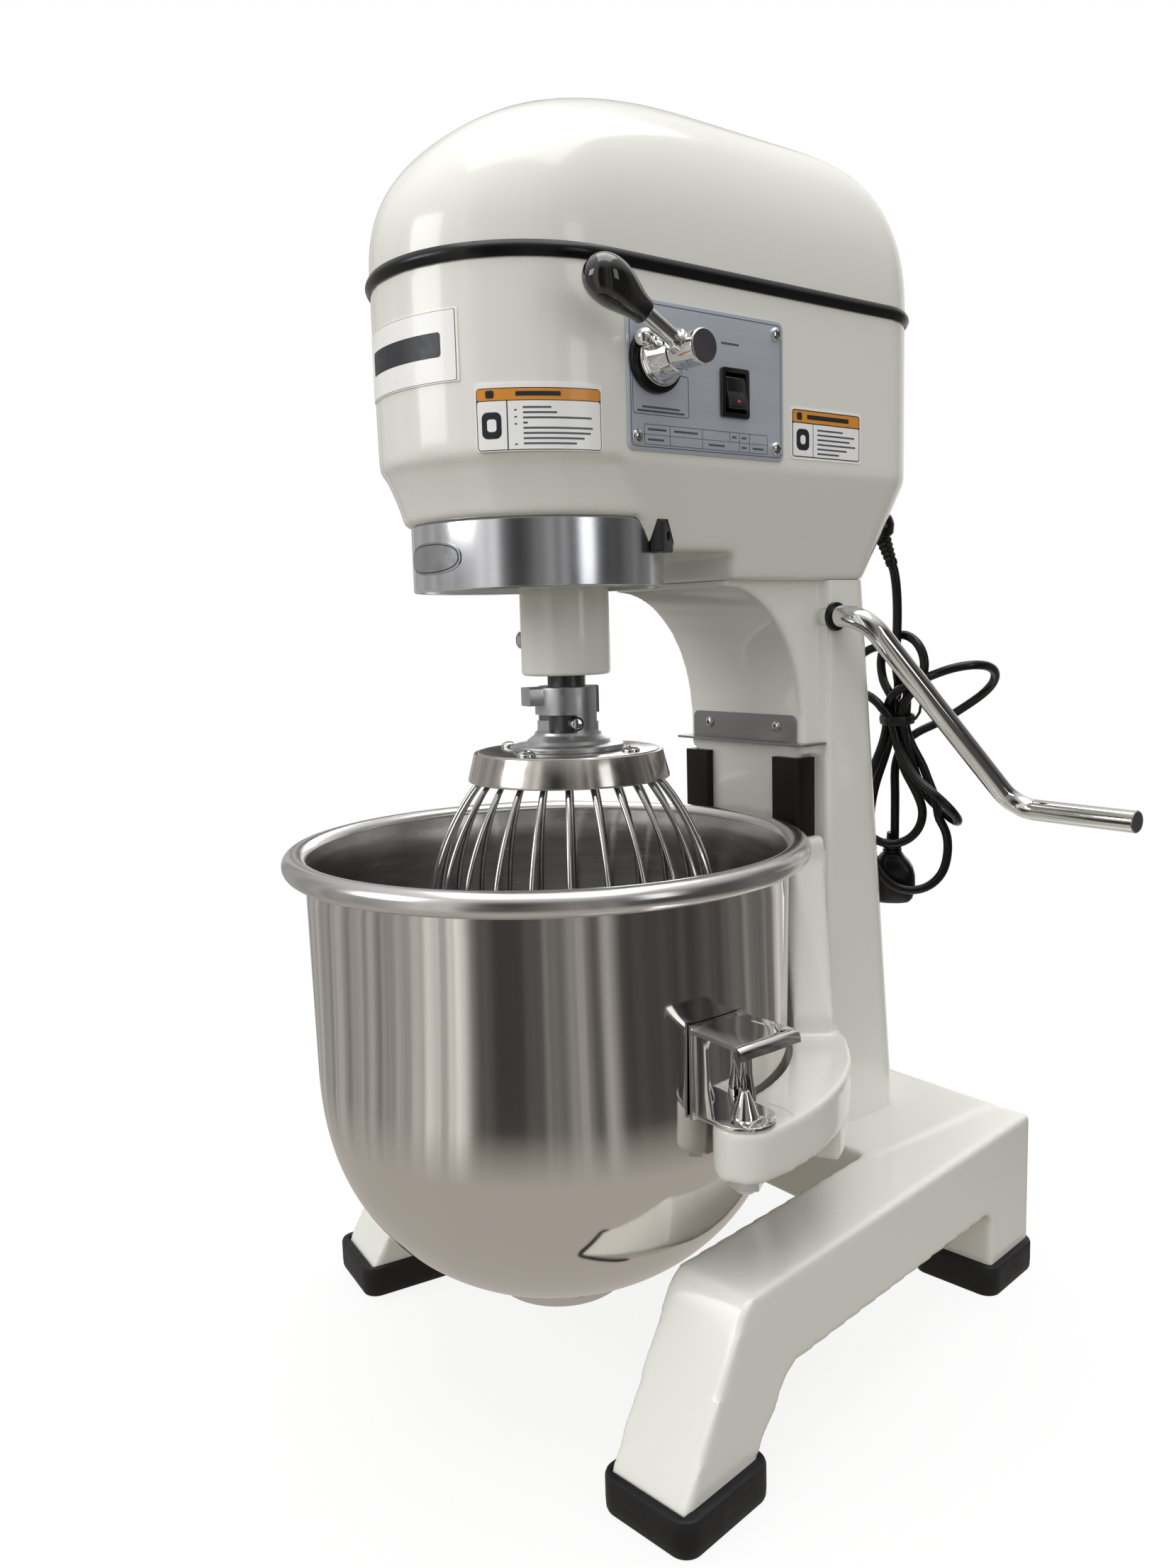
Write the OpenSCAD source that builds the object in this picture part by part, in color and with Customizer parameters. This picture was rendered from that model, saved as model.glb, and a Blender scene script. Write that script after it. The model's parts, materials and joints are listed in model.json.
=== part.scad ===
// Planetary stand mixer for a commercial kitchen, 20 litre size.
// Frame: millimetres, +Z up, z = 0 on the floor, the planetary and bowl axis at x = y = 0.
// The front of the machine looks along -Y and its control panel is on the +X side.

/* [Bowl] */
// Outer radius of the straight part of the bowl
bowl_r = 161.5; // [160:0.5:163]
// Outer radius of the rolled rim
rim_r = 178; // [176:1:180]
// Height of the middle of the rim above the floor, bowl lowered
rim_z = 366.5; // [362:0.5:367]
// Thickness of the bowl's sheet
bowl_wall = 2; // [1.5:0.5:2.5]

/* [Planetary drive] */
// Distance from the planetary axis to the agitator axis
orbit_r = 50; // [50:1:50]
// Direction of the agitator axis at rest, in degrees from +X
orbit_a = 124.7; // [0:0.1:360]
// Outer radius of the polished ring under the head
ring_r = 83; // [82:0.5:84]
// Tooth size of all the gears
gear_module = 2; // [2:1:2]

/* [Whisk] */
// Number of half wires
wire_count = 24; // [12:2:28]
// Diameter of one wire
wire_d = 3.8; // [3.5:0.1:4.8]
// Largest radius of the wire cage
whisk_r = 104; // [98:1:104]

/* [Head] */
// Half width of the head
head_w = 94; // [92:1:96]
// Height of the top of the cover's crown above the seam
crown_h = 120; // [112:1:130]
// Height of the seam between the head and its cover
seam_z = 726; // [720:1:730]

/* [Column and base] */
// Half width of the rear part of the column
column_w = 70; // [68:1:72]
// Height of the top of the base
base_z = 126; // [120:1:130]
// Width of each side beam of the base
beam_w = 57; // [54:1:58]

/* [Bowl lift] */
// Height that the bowl rises when the crank is turned
lift_travel = 66; // [40:1:66]
// Radius of the crank bar
crank_r = 8; // [8:0.5:8]

/* [Cord] */
// Diameter of the power cord
cord_d = 7; // [6.5:0.5:7.5]

/* [Hidden] */
$fn = 96;

ivory = "#EDEAE0";
rubber = "#1C1C1E";
steel = "#C9CBCC";
dark_steel = "#55575A";
chrome = "#DADCDF";
gap = 0.3;            // air between faces of different bodies
fit = 0.05;           // radial running clearance

// Bowl
bowl_z = 65.2;        // bottom of the outside of the bowl
curve_h = 171.5;      // height of the curved lower part
bowl_taper = 0.014;
rim_tube = 8;
foot_r = 44;
foot_z = 58.7;

// Planetary head
ring_top = 583;
ring_bottom = 541;
agitator = [orbit_r * cos(orbit_a), orbit_r * sin(orbit_a)];
tube_r = 31.5;
tube_z = 483;
bearing_r = 26;
shaft_r = 13.5;
ring_teeth = 68;
planet_teeth = 18;
main_teeth = 66;
lay_teeth = 22;
lay_wheel_teeth = 42;
motor_teeth = 16;
lay_y = gear_module * (main_teeth + lay_teeth) / 2;
motor_y = lay_y + gear_module * (lay_wheel_teeth + motor_teeth) / 2;
main_shaft_r = 12;
backlash = 0.3;

// Head
front_y = -9.4;       // centre of the round front
rear_y = 294;
rear_corner = 50;
head_z = 617;         // bottom of the upright walls
head_wall = 8;
flare_wall = 20;      // inset of the cavity where the underside tapers
head_floor_z = 594;
gasket_h = 9;
cover_z = seam_z + gasket_h;
panel_y = [0.8, 133.8];
panel_z = [621, 709.7];
panel_t = 1.5;
lever_y = 22.3;
lever_z = 674.7;
lever_a = 28.3;       // rise of the lever's rod above level, pointing forwards
switch_y = 88.7;
switch_z = 661;
lid_z = 704;

// Column
slide_w = 61;         // half width of the front of the column
recess_w = 55;        // half width below the shelf, under the slide strips
column_y = 189.5;
rear_block_y = 207;   // front of the wider rear part
shelf_z = 427;
strip_top = 416;
strip_bottom = 150;
column_top = 545;
shaft_y = 212;
shaft_z = 518.6;
rack_teeth_z = [440, 534];
pinion_teeth = 24;
pinion_r = gear_module * pinion_teeth / 2;
rack_y = shaft_y + pinion_r;

// Base
splay = 7.55;         // degrees that each side beam opens towards the front
beam_x = 196.2;       // outer face of a side beam at y = 0
beam_z = 66;
foot_h = 24;
pocket = 4;
front_foot = [174, -38];
rear_foot = [125.5, 314];

// Yoke and bowl pins
pin_x = 184;
pin_y = 4;
arm_in = 165.5;
arm_out = 203;
arm_z = [197, 228];
saddle_z = [150, 356];
pin_r = 8;
tab_t = 3;

// Crank: the bar lies in a plane through the shaft; distance out along X and away from the shaft
crank_tilt = -52.7;   // degrees of the arm from +Y
crank_start = -75;
crank_corners = [[99, 0], [150, 183]];
crank_end = 245;
crank_bend_r = 24;

// Cord, from the gland to the tie of the hank
cord_route = [
  [62.6, 279.1, 573], [63.2, 281.5, 563], [63.7, 284, 551], [63.9, 286, 538], [63.5, 288, 524],
  [62.5, 290, 507], [61.2, 292, 491], [60, 294, 475], [59, 296.5, 460], [58.4, 298.6, 448]
];
hank_at = [58, 300, 437.5];
hank_turn = 40;       // degrees from +X of the hank's wide side
hank_lean = 96.5;     // it leans against the back of the column
hank_t = 24;
gland_at = [60.5, 271.5, 592];
gland_tilt = 158;     // degrees of the gland's axis down from +Z
gland_turn = 72;      // and from +X

// ---------- shared shapes ----------

module tube(ro, ri, h) {
  difference() {
    cylinder(r = ro, h = h);
    translate([0, 0, -1]) cylinder(r = ri, h = h + 2);
  }
}

// A shape given once for x > 0 and drawn on both sides
module both_sides() {
  children();
  mirror([1, 0, 0]) children();
}

// Pulls a YZ outline out along X, centred on x = 0
module along_x(width) {
  rotate([90, 0, 90]) linear_extrude(width, center = true) children();
}

// Domed screw head with its shank, the head's flat on z = 0
module dome_screw(r, shank, length) {
  intersection() {
    translate([0, 0, -r * 0.75]) sphere(r = r * 1.25, $fn = 48);
    cylinder(r = r * 1.1, h = r);
  }
  translate([0, 0, -length]) cylinder(r = shank, h = length);
}

// Outline of the head: round front, straight sides, rounded rear corners
module head_outline(inset = 0) {
  w = head_w - inset;
  c = rear_corner - inset;
  hull() {
    translate([0, front_y]) circle(r = w);
    for (s = [-1, 1]) translate([s * (head_w - rear_corner), rear_y - rear_corner]) circle(r = c);
  }
}

// The same outline without hull, so that it stays exact
module head_plan(inset = 0) {
  w = head_w - inset;
  c = rear_corner - inset;
  translate([0, front_y]) circle(r = w);
  translate([-w, front_y]) square([2 * w, rear_y - rear_corner - front_y]);
  for (s = [-1, 1]) translate([s * (head_w - rear_corner), rear_y - rear_corner]) circle(r = c);
  translate([rear_corner - head_w, rear_y - rear_corner - 1])
    square([2 * (head_w - rear_corner), c + 1]);
}

// Angle between a tooth's middle and its flank, in degrees, at radius r
function involute(a) = tan(a) * 180 / PI - a;
function flank(teeth, r, slack) =
  let (rp = gear_module * teeth / 2, rb = rp * cos(20), q = max(r, rb))
  90 / teeth + slack * 90 / (PI * rp) + involute(20) - involute(acos(rb / q));
// Points run from root to tip on the first flank and back down on the second
function gear_points(teeth, low, high, slack) =
  let (rp = gear_module * teeth / 2, step = 360 / teeth)
  [for (i = [0:teeth - 1], p = [[low, -1], [rp, -1], [high, -1], [high, 1], [rp, 1], [low, 1]])
    let (a = i * step + p[1] * flank(teeth, p[0], slack)) p[0] * [cos(a), sin(a)]];

module gear(teeth, h, bore) {
  rp = gear_module * teeth / 2;
  difference() {
    linear_extrude(h)
      polygon(gear_points(teeth, rp - 1.25 * gear_module, rp + gear_module, -backlash));
    translate([0, 0, -1]) cylinder(r = bore, h = h + 2);
  }
}

// Unit vector, and the rings of a tube swept along points
function unit(v) = v / norm(v);
function heading(p, i) = unit(p[min(i + 1, len(p) - 1)] - p[max(i - 1, 0)]);
function ring_at(c, t, r, n) =
  let (u = unit(cross(t, [1, 0.2, 0])), v = cross(t, u))
  [for (k = [0:n - 1]) c + r * (cos(k * 360 / n) * u + sin(k * 360 / n) * v)];

module swept_tube(p, r, n) {
  count = len(p);
  points = [for (i = [0:count - 1]) each ring_at(p[i], heading(p, i), r, n)];
  walls = [for (i = [0:count - 2], k = [0:n - 1])
    [i * n + k, i * n + (k + 1) % n, (i + 1) * n + (k + 1) % n, (i + 1) * n + k]];
  first = [[for (k = [0:n - 1]) n - 1 - k]];
  last = [[for (k = [0:n - 1]) (count - 1) * n + k]];
  polyhedron(points, concat(walls, first, last), convexity = 6);
}

// ---------- base ----------

// Side view of a beam with its front and rear leg; the bed between the beams stands a little proud
rear_leg_y = [292, 353];
bed_step = 1;
beam_top = base_z - bed_step;
module beam_profile() {
  polygon([[-6, beam_top], [rear_leg_y[1], beam_top], [rear_leg_y[1], foot_h - pocket],
           [rear_leg_y[0], foot_h - pocket], [rear_leg_y[0], beam_z], [33, beam_z],
           [-1.5, foot_h], [-4.5, foot_h - pocket], [-68.3, foot_h - pocket], [-66, foot_h]]);
}

module side_beam() {
  translate([beam_x, 0, 0]) rotate([0, 0, splay])
    translate([-beam_w / 2, 0, 0]) along_x(beam_w) beam_profile();
}

module at_bolts(z) {
  for (x = [-40, 40], y = [225, 270]) translate([x, y, z]) children();
}

module base_casting() color(ivory) difference() {
  union() {
    both_sides() side_beam();
    translate([-118, 197, beam_z + bed_step]) cube([236, 150, base_z - beam_z - bed_step]);
  }
  at_bolts(beam_z - 1) cylinder(r = 14, h = 13);
  at_bolts(beam_z) cylinder(r = 6.5, h = 80);
}

module foot(at, length, leg_at, leg_length) color(rubber) difference() {
  translate([at[0], at[1], 0]) rotate([0, 0, splay]) linear_extrude(foot_h)
    hull() for (x = [-1, 1], y = [-1, 1])
      translate([x * 23, y * (length / 2 - 12)]) circle(r = 12, $fn = 32);
  translate([leg_at[0], leg_at[1], foot_h - pocket]) rotate([0, 0, splay])
    translate([-beam_w / 2 - gap, -leg_length / 2, 0]) cube([beam_w + 2 * gap, leg_length, pocket + 1]);
}

// Middle of a leg that is centred at y along its beam
function leg_middle(y) = [beam_x - beam_w / 2 * cos(splay) - y * sin(splay),
                          y * cos(splay) - beam_w / 2 * sin(splay)];
module foot_front_right() foot(front_foot, 80, leg_middle(-34.5), 68.5);
module foot_front_left() mirror([1, 0, 0]) foot_front_right();
module foot_rear_right() foot(rear_foot, 72, leg_middle((rear_leg_y[0] + rear_leg_y[1]) / 2), 61.6);
module foot_rear_left() mirror([1, 0, 0]) foot_rear_right();

module column_bolts() color(dark_steel) at_bolts(beam_z + 1) {
  cylinder(r = 10, h = 10, $fn = 6);
  translate([0, 0, 10]) cylinder(r = 6, h = base_z - beam_z + 8 - 11);
}

// ---------- column ----------

arch = [for (a = [90:-4.5:0]) [113 + 76.5 * cos(a), 440 + 101 * sin(a)]];

module column_casting() color(ivory) difference() {
  union() {
    along_x(2 * recess_w) polygon([[column_y, base_z], [column_y, strip_top + 2],
      [215, strip_top + 2], [215, base_z]]);
    along_x(2 * slide_w) polygon(concat(arch, [[column_y, strip_top + 2], [225, strip_top + 2],
      [225, column_top]], [[113, column_top]]));
    hull() {
      for (x = [-45, 45]) translate([x, 273, base_z]) cylinder(r = 25, h = 1, $fn = 32);
      for (x = [-45, 45]) translate([x, 234, column_top - 1]) cylinder(r = 25, h = 1, $fn = 32);
      for (z = [base_z, column_top - 1])
        translate([-column_w, rear_block_y, z]) cube([2 * column_w, 4, 1]);
    }
  }
  // Hollow inside
  along_x(94) polygon([[198, base_z + 8], [198, 445], [181, 505], [160, column_top + 1],
    [250, column_top + 1], [288, base_z + 8]]);
  along_x(124) polygon([[211, base_z + 8], [211, column_top + 1], [250, column_top + 1],
    [288, base_z + 8]]);
  // Slot for the lug of the lift rack
  translate([-9, 185, 198]) cube([18, 16, 108]);
  at_bolts(base_z - 1) cylinder(r = 6.1, h = 12);
  // Crank bearings in both side walls
  translate([-80, shaft_y, shaft_z]) rotate([0, 90, 0]) cylinder(r = crank_r + fit, h = 160);
  // Way in at the back, closed by a cover
  translate([-40, 240, 190]) cube([80, 60, 250]);
}

rear_lean = atan((298 - 259) / (column_top - base_z));
module rear_cover() color(ivory)
  translate([0, 298, base_z]) rotate([rear_lean, 0, 0]) translate([-50, gap, 54])
    difference() {
      cube([100, 2, 270]);
      for (z = [80:14:190]) translate([25, -1, z]) cube([50, 4, 4]);
    }

module splash_shelf() color("#8C8F93") {
  difference() {
    translate([-68, 180.5, shelf_z - 2]) cube([136, rear_block_y - gap - 180.5, 1.8]);
    translate([-slide_w - gap, column_y - gap, shelf_z - 3]) cube([2 * (slide_w + gap), 40, 4]);
  }
  difference() {
    translate([-recess_w, column_y - gap - 1.6, shelf_z - 2]) cube([2 * recess_w, 1.6, 22]);
    for (x = [-36, 36]) translate([x, 200, 438.5]) rotate([90, 0, 0]) cylinder(r = 2.6, h = 20);
  }
}

module slide_strips() color(rubber) both_sides() difference() {
  translate([35, 183, strip_bottom]) cube([slide_w - 35, 19, strip_top - strip_bottom]);
  translate([30, column_y, strip_bottom - 1])
    cube([recess_w - 30, 20, strip_top - strip_bottom + 2]);
}

// ---------- head ----------

module head_shell() {
  translate([0, 0, head_z]) linear_extrude(seam_z - head_z) head_plan();
  hull() {
    translate([0, 0, ring_top]) cylinder(r = 87, h = 1);
    translate([0, front_y, head_z - 1]) cylinder(r = head_w, h = 1);
  }
  hull() {
    translate([-head_w, front_y, head_z - 1]) cube([2 * head_w, 140, 1]);
    translate([-76, 30, 563]) cube([152, 92, 1]);
  }
  hull() {
    translate([0, 0, head_z - 1]) linear_extrude(1) intersection() {
      head_outline();
      translate([-100, 90]) square([200, 220]);
    }
    translate([-column_w, 110, column_top]) cube([2 * column_w, 120, 1]);
    for (x = [-45, 45]) translate([x, 234, column_top]) cylinder(r = 25, h = 1, $fn = 32);
  }
}

module head_casting() color(ivory) difference() {
  head_shell();
  translate([0, 0, 500]) cylinder(r = ring_r + gap, h = ring_top - 500);
  translate([0, 0, head_floor_z]) linear_extrude(head_z + 2 - head_floor_z) head_plan(flare_wall);
  translate([0, 0, head_z + 1]) linear_extrude(130) head_plan(head_wall);
  translate([-47, 170, column_top - 1]) cube([94, 80, 60]);
  cylinder(r = bearing_r, h = 700);
  translate([0, lay_y, 590]) cylinder(r = 16, h = 20);
  at_ring_block() translate([-2, -gap, -gap]) cube([11 + gap, 18 + 2 * gap, 20 + 2 * gap]);
  along_gland(0.5) cylinder(r = gland_r + 0.7, h = 40);
  // Openings in the side wall for the switch and the lever
  translate([80, switch_y - 11, switch_z - 14]) cube([20, 22, 28]);
  translate([80, lever_y, lever_z]) rotate([0, 90, 0]) cylinder(r = 11, h = 20);
  for (s = screw_places) translate([88, s[0], s[1]]) rotate([0, 90, 0]) cylinder(r = 2.2, h = 10);
}

screw_places = [for (y = panel_y, z = panel_z)
  [y + (y < 50 ? 7 : -7), z + (z < 650 ? 8 : -8)]];

module seam_gasket() color(rubber) translate([0, 0, seam_z]) difference() {
  linear_extrude(gasket_h) head_plan(-3);
  translate([0, 0, -1]) linear_extrude(gasket_h + 2) head_plan(head_wall);
}

// Cover: the outline shrinks upwards along a rounded section, and its crown falls to the rear
crown_y = 50;
crown_fall = 0.07;
rear_round = 112;
function front_rise(y, f) =
  y < crown_y ? pow(max(0, 1 - pow((crown_y - y) / (crown_y - front_y + f), 2.15)), 1 / 2.15) : 1;
function rear_rise(y, e) =
  y > e - rear_round ? pow(max(0, 1 - pow((y - e + rear_round) / rear_round, 2.8)), 1 / 2.8) : 1;
function crown(y, off) =
  (crown_h - off - crown_fall * max(0, y - crown_y)) * front_rise(y, head_w - off)
  * rear_rise(y, rear_y - off);
function half_width(y, off) =
  let (w = head_w - off, c = rear_corner - off, e = rear_y - off)
  y < front_y ? sqrt(max(0, w * w - (y - front_y) * (y - front_y)))
  : y > e - c ? w - c + sqrt(max(0, c * c - (y - e + c) * (y - e + c))) : w;
section_power = 2.5;
section_steps = 14;
function rib(y, off) = [for (k = [0:section_steps])
  let (a = 180 * k / section_steps, c = cos(a), s = sin(a))
  [half_width(y, off) * sign(c) * pow(abs(c), 2 / section_power), y,
   cover_z + crown(y, off) * pow(s, 2 / section_power)]];
function cover_stations(off) =
  let (a = front_y - head_w + off, b = rear_y - off)
  concat([for (k = [1:9]) a + (crown_y - a) * (1 - cos(10 * k))],
         [crown_y + 45, crown_y + 90],
         [for (k = [0:8]) b - rear_round * (1 - sin(11 * k))]);

// Solid dome: one rib at each station, closed to a point at both ends and flat below
module dome(off) {
  y = cover_stations(off);
  n = section_steps + 1;
  m = len(y);
  points = concat([for (i = [0:m - 1]) each rib(y[i], off)],
    [[0, front_y - head_w + off, cover_z], [0, rear_y - off, cover_z]]);
  skin = [for (i = [0:m - 2], k = [0:n - 2])
    each [[i * n + k, i * n + k + 1, (i + 1) * n + k],
          [i * n + k + 1, (i + 1) * n + k + 1, (i + 1) * n + k]]];
  under = [for (i = [0:m - 2])
    each [[i * n, (i + 1) * n, i * n + n - 1], [(i + 1) * n, (i + 1) * n + n - 1, i * n + n - 1]]];
  front = concat([for (k = [0:n - 2]) [m * n, k + 1, k]], [[m * n, 0, n - 1]]);
  back = concat([for (k = [0:n - 2]) [m * n + 1, (m - 1) * n + k, (m - 1) * n + k + 1]],
    [[m * n + 1, (m - 1) * n + n - 1, (m - 1) * n]]);
  polyhedron(points, concat(skin, under, front, back), convexity = 4);
}

module top_cover() color(ivory) difference() {
  dome(0);
  translate([0, 0, -0.01]) dome(5);
}

// ---------- controls ----------

module control_panel() color("#A9B4C2") difference() {
  translate([head_w, panel_y[0], panel_z[0]])
    cube([panel_t, panel_y[1] - panel_y[0], panel_z[1] - panel_z[0]]);
  translate([head_w - 1, switch_y - 11, switch_z - 14]) cube([4, 22, 28]);
  translate([head_w - 1, lever_y, lever_z]) rotate([0, 90, 0]) cylinder(r = 11, h = 5);
  for (s = screw_places)
    translate([head_w - 1, s[0], s[1]]) rotate([0, 90, 0]) cylinder(r = 2.2, h = 5);
}

module dome_screws() color(chrome) {
  for (s = screw_places) translate([head_w + panel_t, s[0], s[1]])
    rotate([0, 90, 0]) dome_screw(4.4, 2, 7);
  for (x = [-36, 36]) translate([x, column_y - gap - 1.6, 438.5])
    rotate([90, 0, 0]) dome_screw(4, 2.4, 1.8);
}

// Thin sheet on a round wall, between two angles and two heights
module curved_sheet(r, from, to, z0, z1, t) {
  translate([0, 0, z0]) rotate([0, 0, from]) rotate_extrude(angle = to - from)
    translate([r, 0]) square([t, z1 - z0]);
}

module labels() color("white") {
  translate([head_w, 142, 624]) cube([0.6, 71, 34]);
  translate([0, front_y, 0]) {
    curved_sheet(head_w + fit, -51, -5, 619, 655, 0.6);
    curved_sheet(head_w + fit, -115, -57, 659, 700, 0.6);
  }
}

module switch_housing() color(rubber) translate([0, switch_y, switch_z]) difference() {
  union() {
    translate([head_w + panel_t, -12.5, -15.5]) cube([2, 25, 31]);
    translate([head_w - 22, -10.8, -13.8]) cube([22 + panel_t, 21.6, 27.6]);
  }
  translate([head_w - 8, -8.6, -12]) cube([14, 17.2, 24]);
}

// Rocker: a bent key that turns about a level axis behind the panel
rocker_pivot = head_w - 2;
module switch_rocker() color("#101012") translate([rocker_pivot, switch_y, switch_z])
  rotate([90, 0, 0]) linear_extrude(16.4, center = true)
    polygon([[-2.5, -6], [2, -10.4], [8.5, -9.8], [6.2, 0], [5.6, 9.6], [-0.5, 10.4], [-2.5, 6]]);

module on_lever_axis(x) {
  translate([x, lever_y, lever_z]) rotate([0, 90, 0]) children();
}

module lever_flange() color(rubber) on_lever_axis(head_w + panel_t) tube(20, 9.05, 4);

module lever_hub() color(chrome) {
  on_lever_axis(70) cylinder(r = 9, h = 32);
  on_lever_axis(head_w + panel_t + 4 + gap) cylinder(r = 16.5, h = 3.5);
  on_lever_axis(head_w + panel_t + 7) cylinder(r1 = 15, r2 = 11, h = 16);
  on_lever_axis(head_w + panel_t + 22) cylinder(r = 10.2, h = 22.5);
  translate([107, lever_y - 17, lever_z + 9]) sphere(r = 6, $fn = 48);
  translate([107, lever_y, lever_z]) rotate([90 - lever_a, 0, 0]) cylinder(r = 4, h = 20);
}

module on_lever_rod(d) {
  translate([125, lever_y, lever_z]) rotate([90 - lever_a, 0, 0]) translate([0, 0, d]) children();
}

module lever_rod() color(chrome) difference() {
  on_lever_rod(6) cylinder(r = 5, h = 40);
  on_lever_axis(117) cylinder(r = 10.25, h = 24);
}

module lever_knob() color("#141416") on_lever_rod(36) difference() {
  rotate_extrude() polygon(concat([[0, 0], [7.5, 0]],
    [for (a = [-40:10:90]) [12.8 * cos(a), 31 + 14.5 * sin(a)]]));
  translate([0, 0, -1]) cylinder(r = 5.02, h = 11.1);
}

// ---------- gearbox and motor ----------

module gearbox_lid() color("#B9BBBD") difference() {
  translate([0, 0, lid_z]) linear_extrude(8) head_plan(head_wall + gap);
  translate([0, 0, lid_z - 1]) cylinder(r = 18, h = 7);
  translate([0, lay_y, lid_z - 1]) cylinder(r = 16, h = 7);
  translate([0, motor_y, lid_z - 1]) cylinder(r = 20, h = 12);
  translate([60, 150, lid_z - 1]) cylinder(r = 14, h = 12);
}

module shaft_bearings() color(steel) {
  translate([0, 0, 584]) tube(bearing_r, main_shaft_r + 3 + fit, 10);
  translate([0, 0, lid_z - 4]) tube(18, main_shaft_r + fit, 9.9);
  translate([0, lay_y, 590]) tube(16, 10 + fit, 12);
  translate([0, lay_y, lid_z - 4]) tube(16, 10 + fit, 9.9);
}

motor_z = lid_z + 8;
module motor_stator() color("#3F4850") translate([0, motor_y, motor_z]) {
  difference() {
    cylinder(r = 52, h = 92);
    translate([0, 0, 6]) cylinder(r = 36, h = 80);
    translate([0, 0, -1]) cylinder(r = 8 + fit, h = 100);
    for (a = [0:15:345]) rotate([0, 0, a]) translate([49.5, -2, 10]) cube([5, 4, 72]);
  }
}

module motor_shaft() color(dark_steel) translate([0, motor_y, 0]) {
  translate([0, 0, 680]) cylinder(r = 8, h = motor_z + 98 - 680);
  translate([0, 0, motor_z + 10]) cylinder(r = 34, h = 72);
  translate([0, 0, 678]) rotate([0, 0, 180 / motor_teeth - 90]) gear(motor_teeth, 18, 7.9);
}

module cooling_fan() color("#2A2C2E") translate([0, motor_y, motor_z + 93]) {
  tube(14, 8, 5);
  for (a = [0:45:315]) rotate([0, 0, a]) translate([13.5, -1, 0]) cube([22, 2, 5]);
}

module lay_shaft() color(dark_steel) translate([0, lay_y, 591]) cylinder(r = 10, h = lid_z + 4 - 591);

module lay_gears() color(steel) translate([0, lay_y, 0]) {
  translate([0, 0, 638]) rotate([0, 0, 180 / lay_teeth - 90]) gear(lay_teeth, 18, 10);
  translate([0, 0, 680]) rotate([0, 0, 90]) gear(lay_wheel_teeth, 14, 10);
}

module main_shaft() color(dark_steel) {
  translate([0, 0, 546]) cylinder(r = main_shaft_r + 3, h = 60);
  translate([0, 0, 606]) cylinder(r = main_shaft_r, h = lid_z + 4 - 606);
}

module main_gear() color(steel) translate([0, 0, 640]) rotate([0, 0, 90])
  difference() {
    gear(main_teeth, 14, main_shaft_r);
    for (a = [0:60:300]) rotate([0, 0, a]) translate([38, 0, -1]) cylinder(r = 13, h = 16);
  }

// ---------- planetary head ----------

module ring_band() color(steel) translate([0, 0, ring_bottom]) difference() {
  cylinder(r = ring_r, h = ring_top - ring_bottom);
  translate([0, 0, -1]) cylinder(r = 77.1, h = 50);
}

module ring_gear() color(dark_steel) translate([0, 0, 560]) rotate([0, 0, orbit_a]) difference() {
  cylinder(r = 77, h = 15);
  translate([0, 0, -1]) linear_extrude(17) polygon(gear_points(ring_teeth,
    gear_module * (ring_teeth / 2 - 1), gear_module * (ring_teeth / 2 + 1.25), backlash));
}

module ring_badge() color("#B8B9BB") curved_sheet(ring_r + fit, -109, -70, 551, 571, 0.8);

module at_ring_block() {
  rotate([0, 0, 28]) translate([ring_r + gap, -9, ring_bottom + 21]) children();
}
module ring_block() color("#26282A") at_ring_block() difference() {
  cube([9, 18, 20]);
  translate([6, 9, 10]) rotate([0, 90, 0]) cylinder(r = 3, h = 10);
}

module at_agitator(z) {
  translate([agitator[0], agitator[1], z]) children();
}

module planet_carrier() color(ivory) difference() {
  union() {
    translate([0, 0, ring_bottom + 2]) cylinder(r = 75, h = 9);
    translate([0, 0, ring_bottom + 2]) cylinder(r = 23, h = 36);
    at_agitator(tube_z) cylinder(r = tube_r, h = ring_bottom - 0.5 - tube_z);
    intersection() {
      translate([0, 0, ring_bottom - 2]) cylinder(r = 75, h = 5);
      at_agitator(ring_bottom - 3) cylinder(r = tube_r, h = 8);
    }
    translate([38, -30, ring_bottom + 11]) cylinder(r = 16, h = 20);
  }
  translate([0, 0, ring_bottom + 5]) cylinder(r = main_shaft_r + 3, h = 40);
  at_agitator(tube_z + 3) cylinder(r = bearing_r, h = ring_bottom - tube_z - 3);
  at_agitator(tube_z - 1) cylinder(r = shaft_r + 2, h = 80);
  at_grease_plug() cylinder(r = 7, h = 5);
}

module agitator_bearings() color(steel) {
  at_agitator(tube_z + 3.2) tube(bearing_r - 0.02, shaft_r + fit, 13);
  at_agitator(ring_bottom - 13.2) tube(bearing_r - 0.02, shaft_r + fit, 13);
}

module at_grease_plug() {
  at_agitator(508) rotate([0, 0, 218]) rotate([0, 90, 0]) translate([0, 0, tube_r - 0.6]) children();
}
module grease_plug() color(steel) at_grease_plug() cylinder(r = 6, h = 4.5, $fn = 6);

module agitator_shaft() color(dark_steel) difference() {
  union() {
    at_agitator(436) cylinder(r = shaft_r, h = 121);
    at_agitator(557) cylinder(r = 9.98, h = 20);
  }
  at_agitator(449) rotate([0, 0, pin_turn]) rotate([0, 90, 0]) cylinder(r = 4, h = 60, center = true);
}

module planet_gear() color(steel) at_agitator(559) rotate([0, 0, orbit_a]) gear(planet_teeth, 16, 10);

// The bayonet pin points towards the front right
pin_turn = -20;
module drive_pin() color(chrome) at_agitator(449) rotate([0, 0, pin_turn]) rotate([0, 90, 0])
  cylinder(r = 3.95, h = 48, center = true);

// ---------- whisk ----------

cap_z = [409.2, 429.8];
cap_r = [72.3, 67.5];

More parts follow.
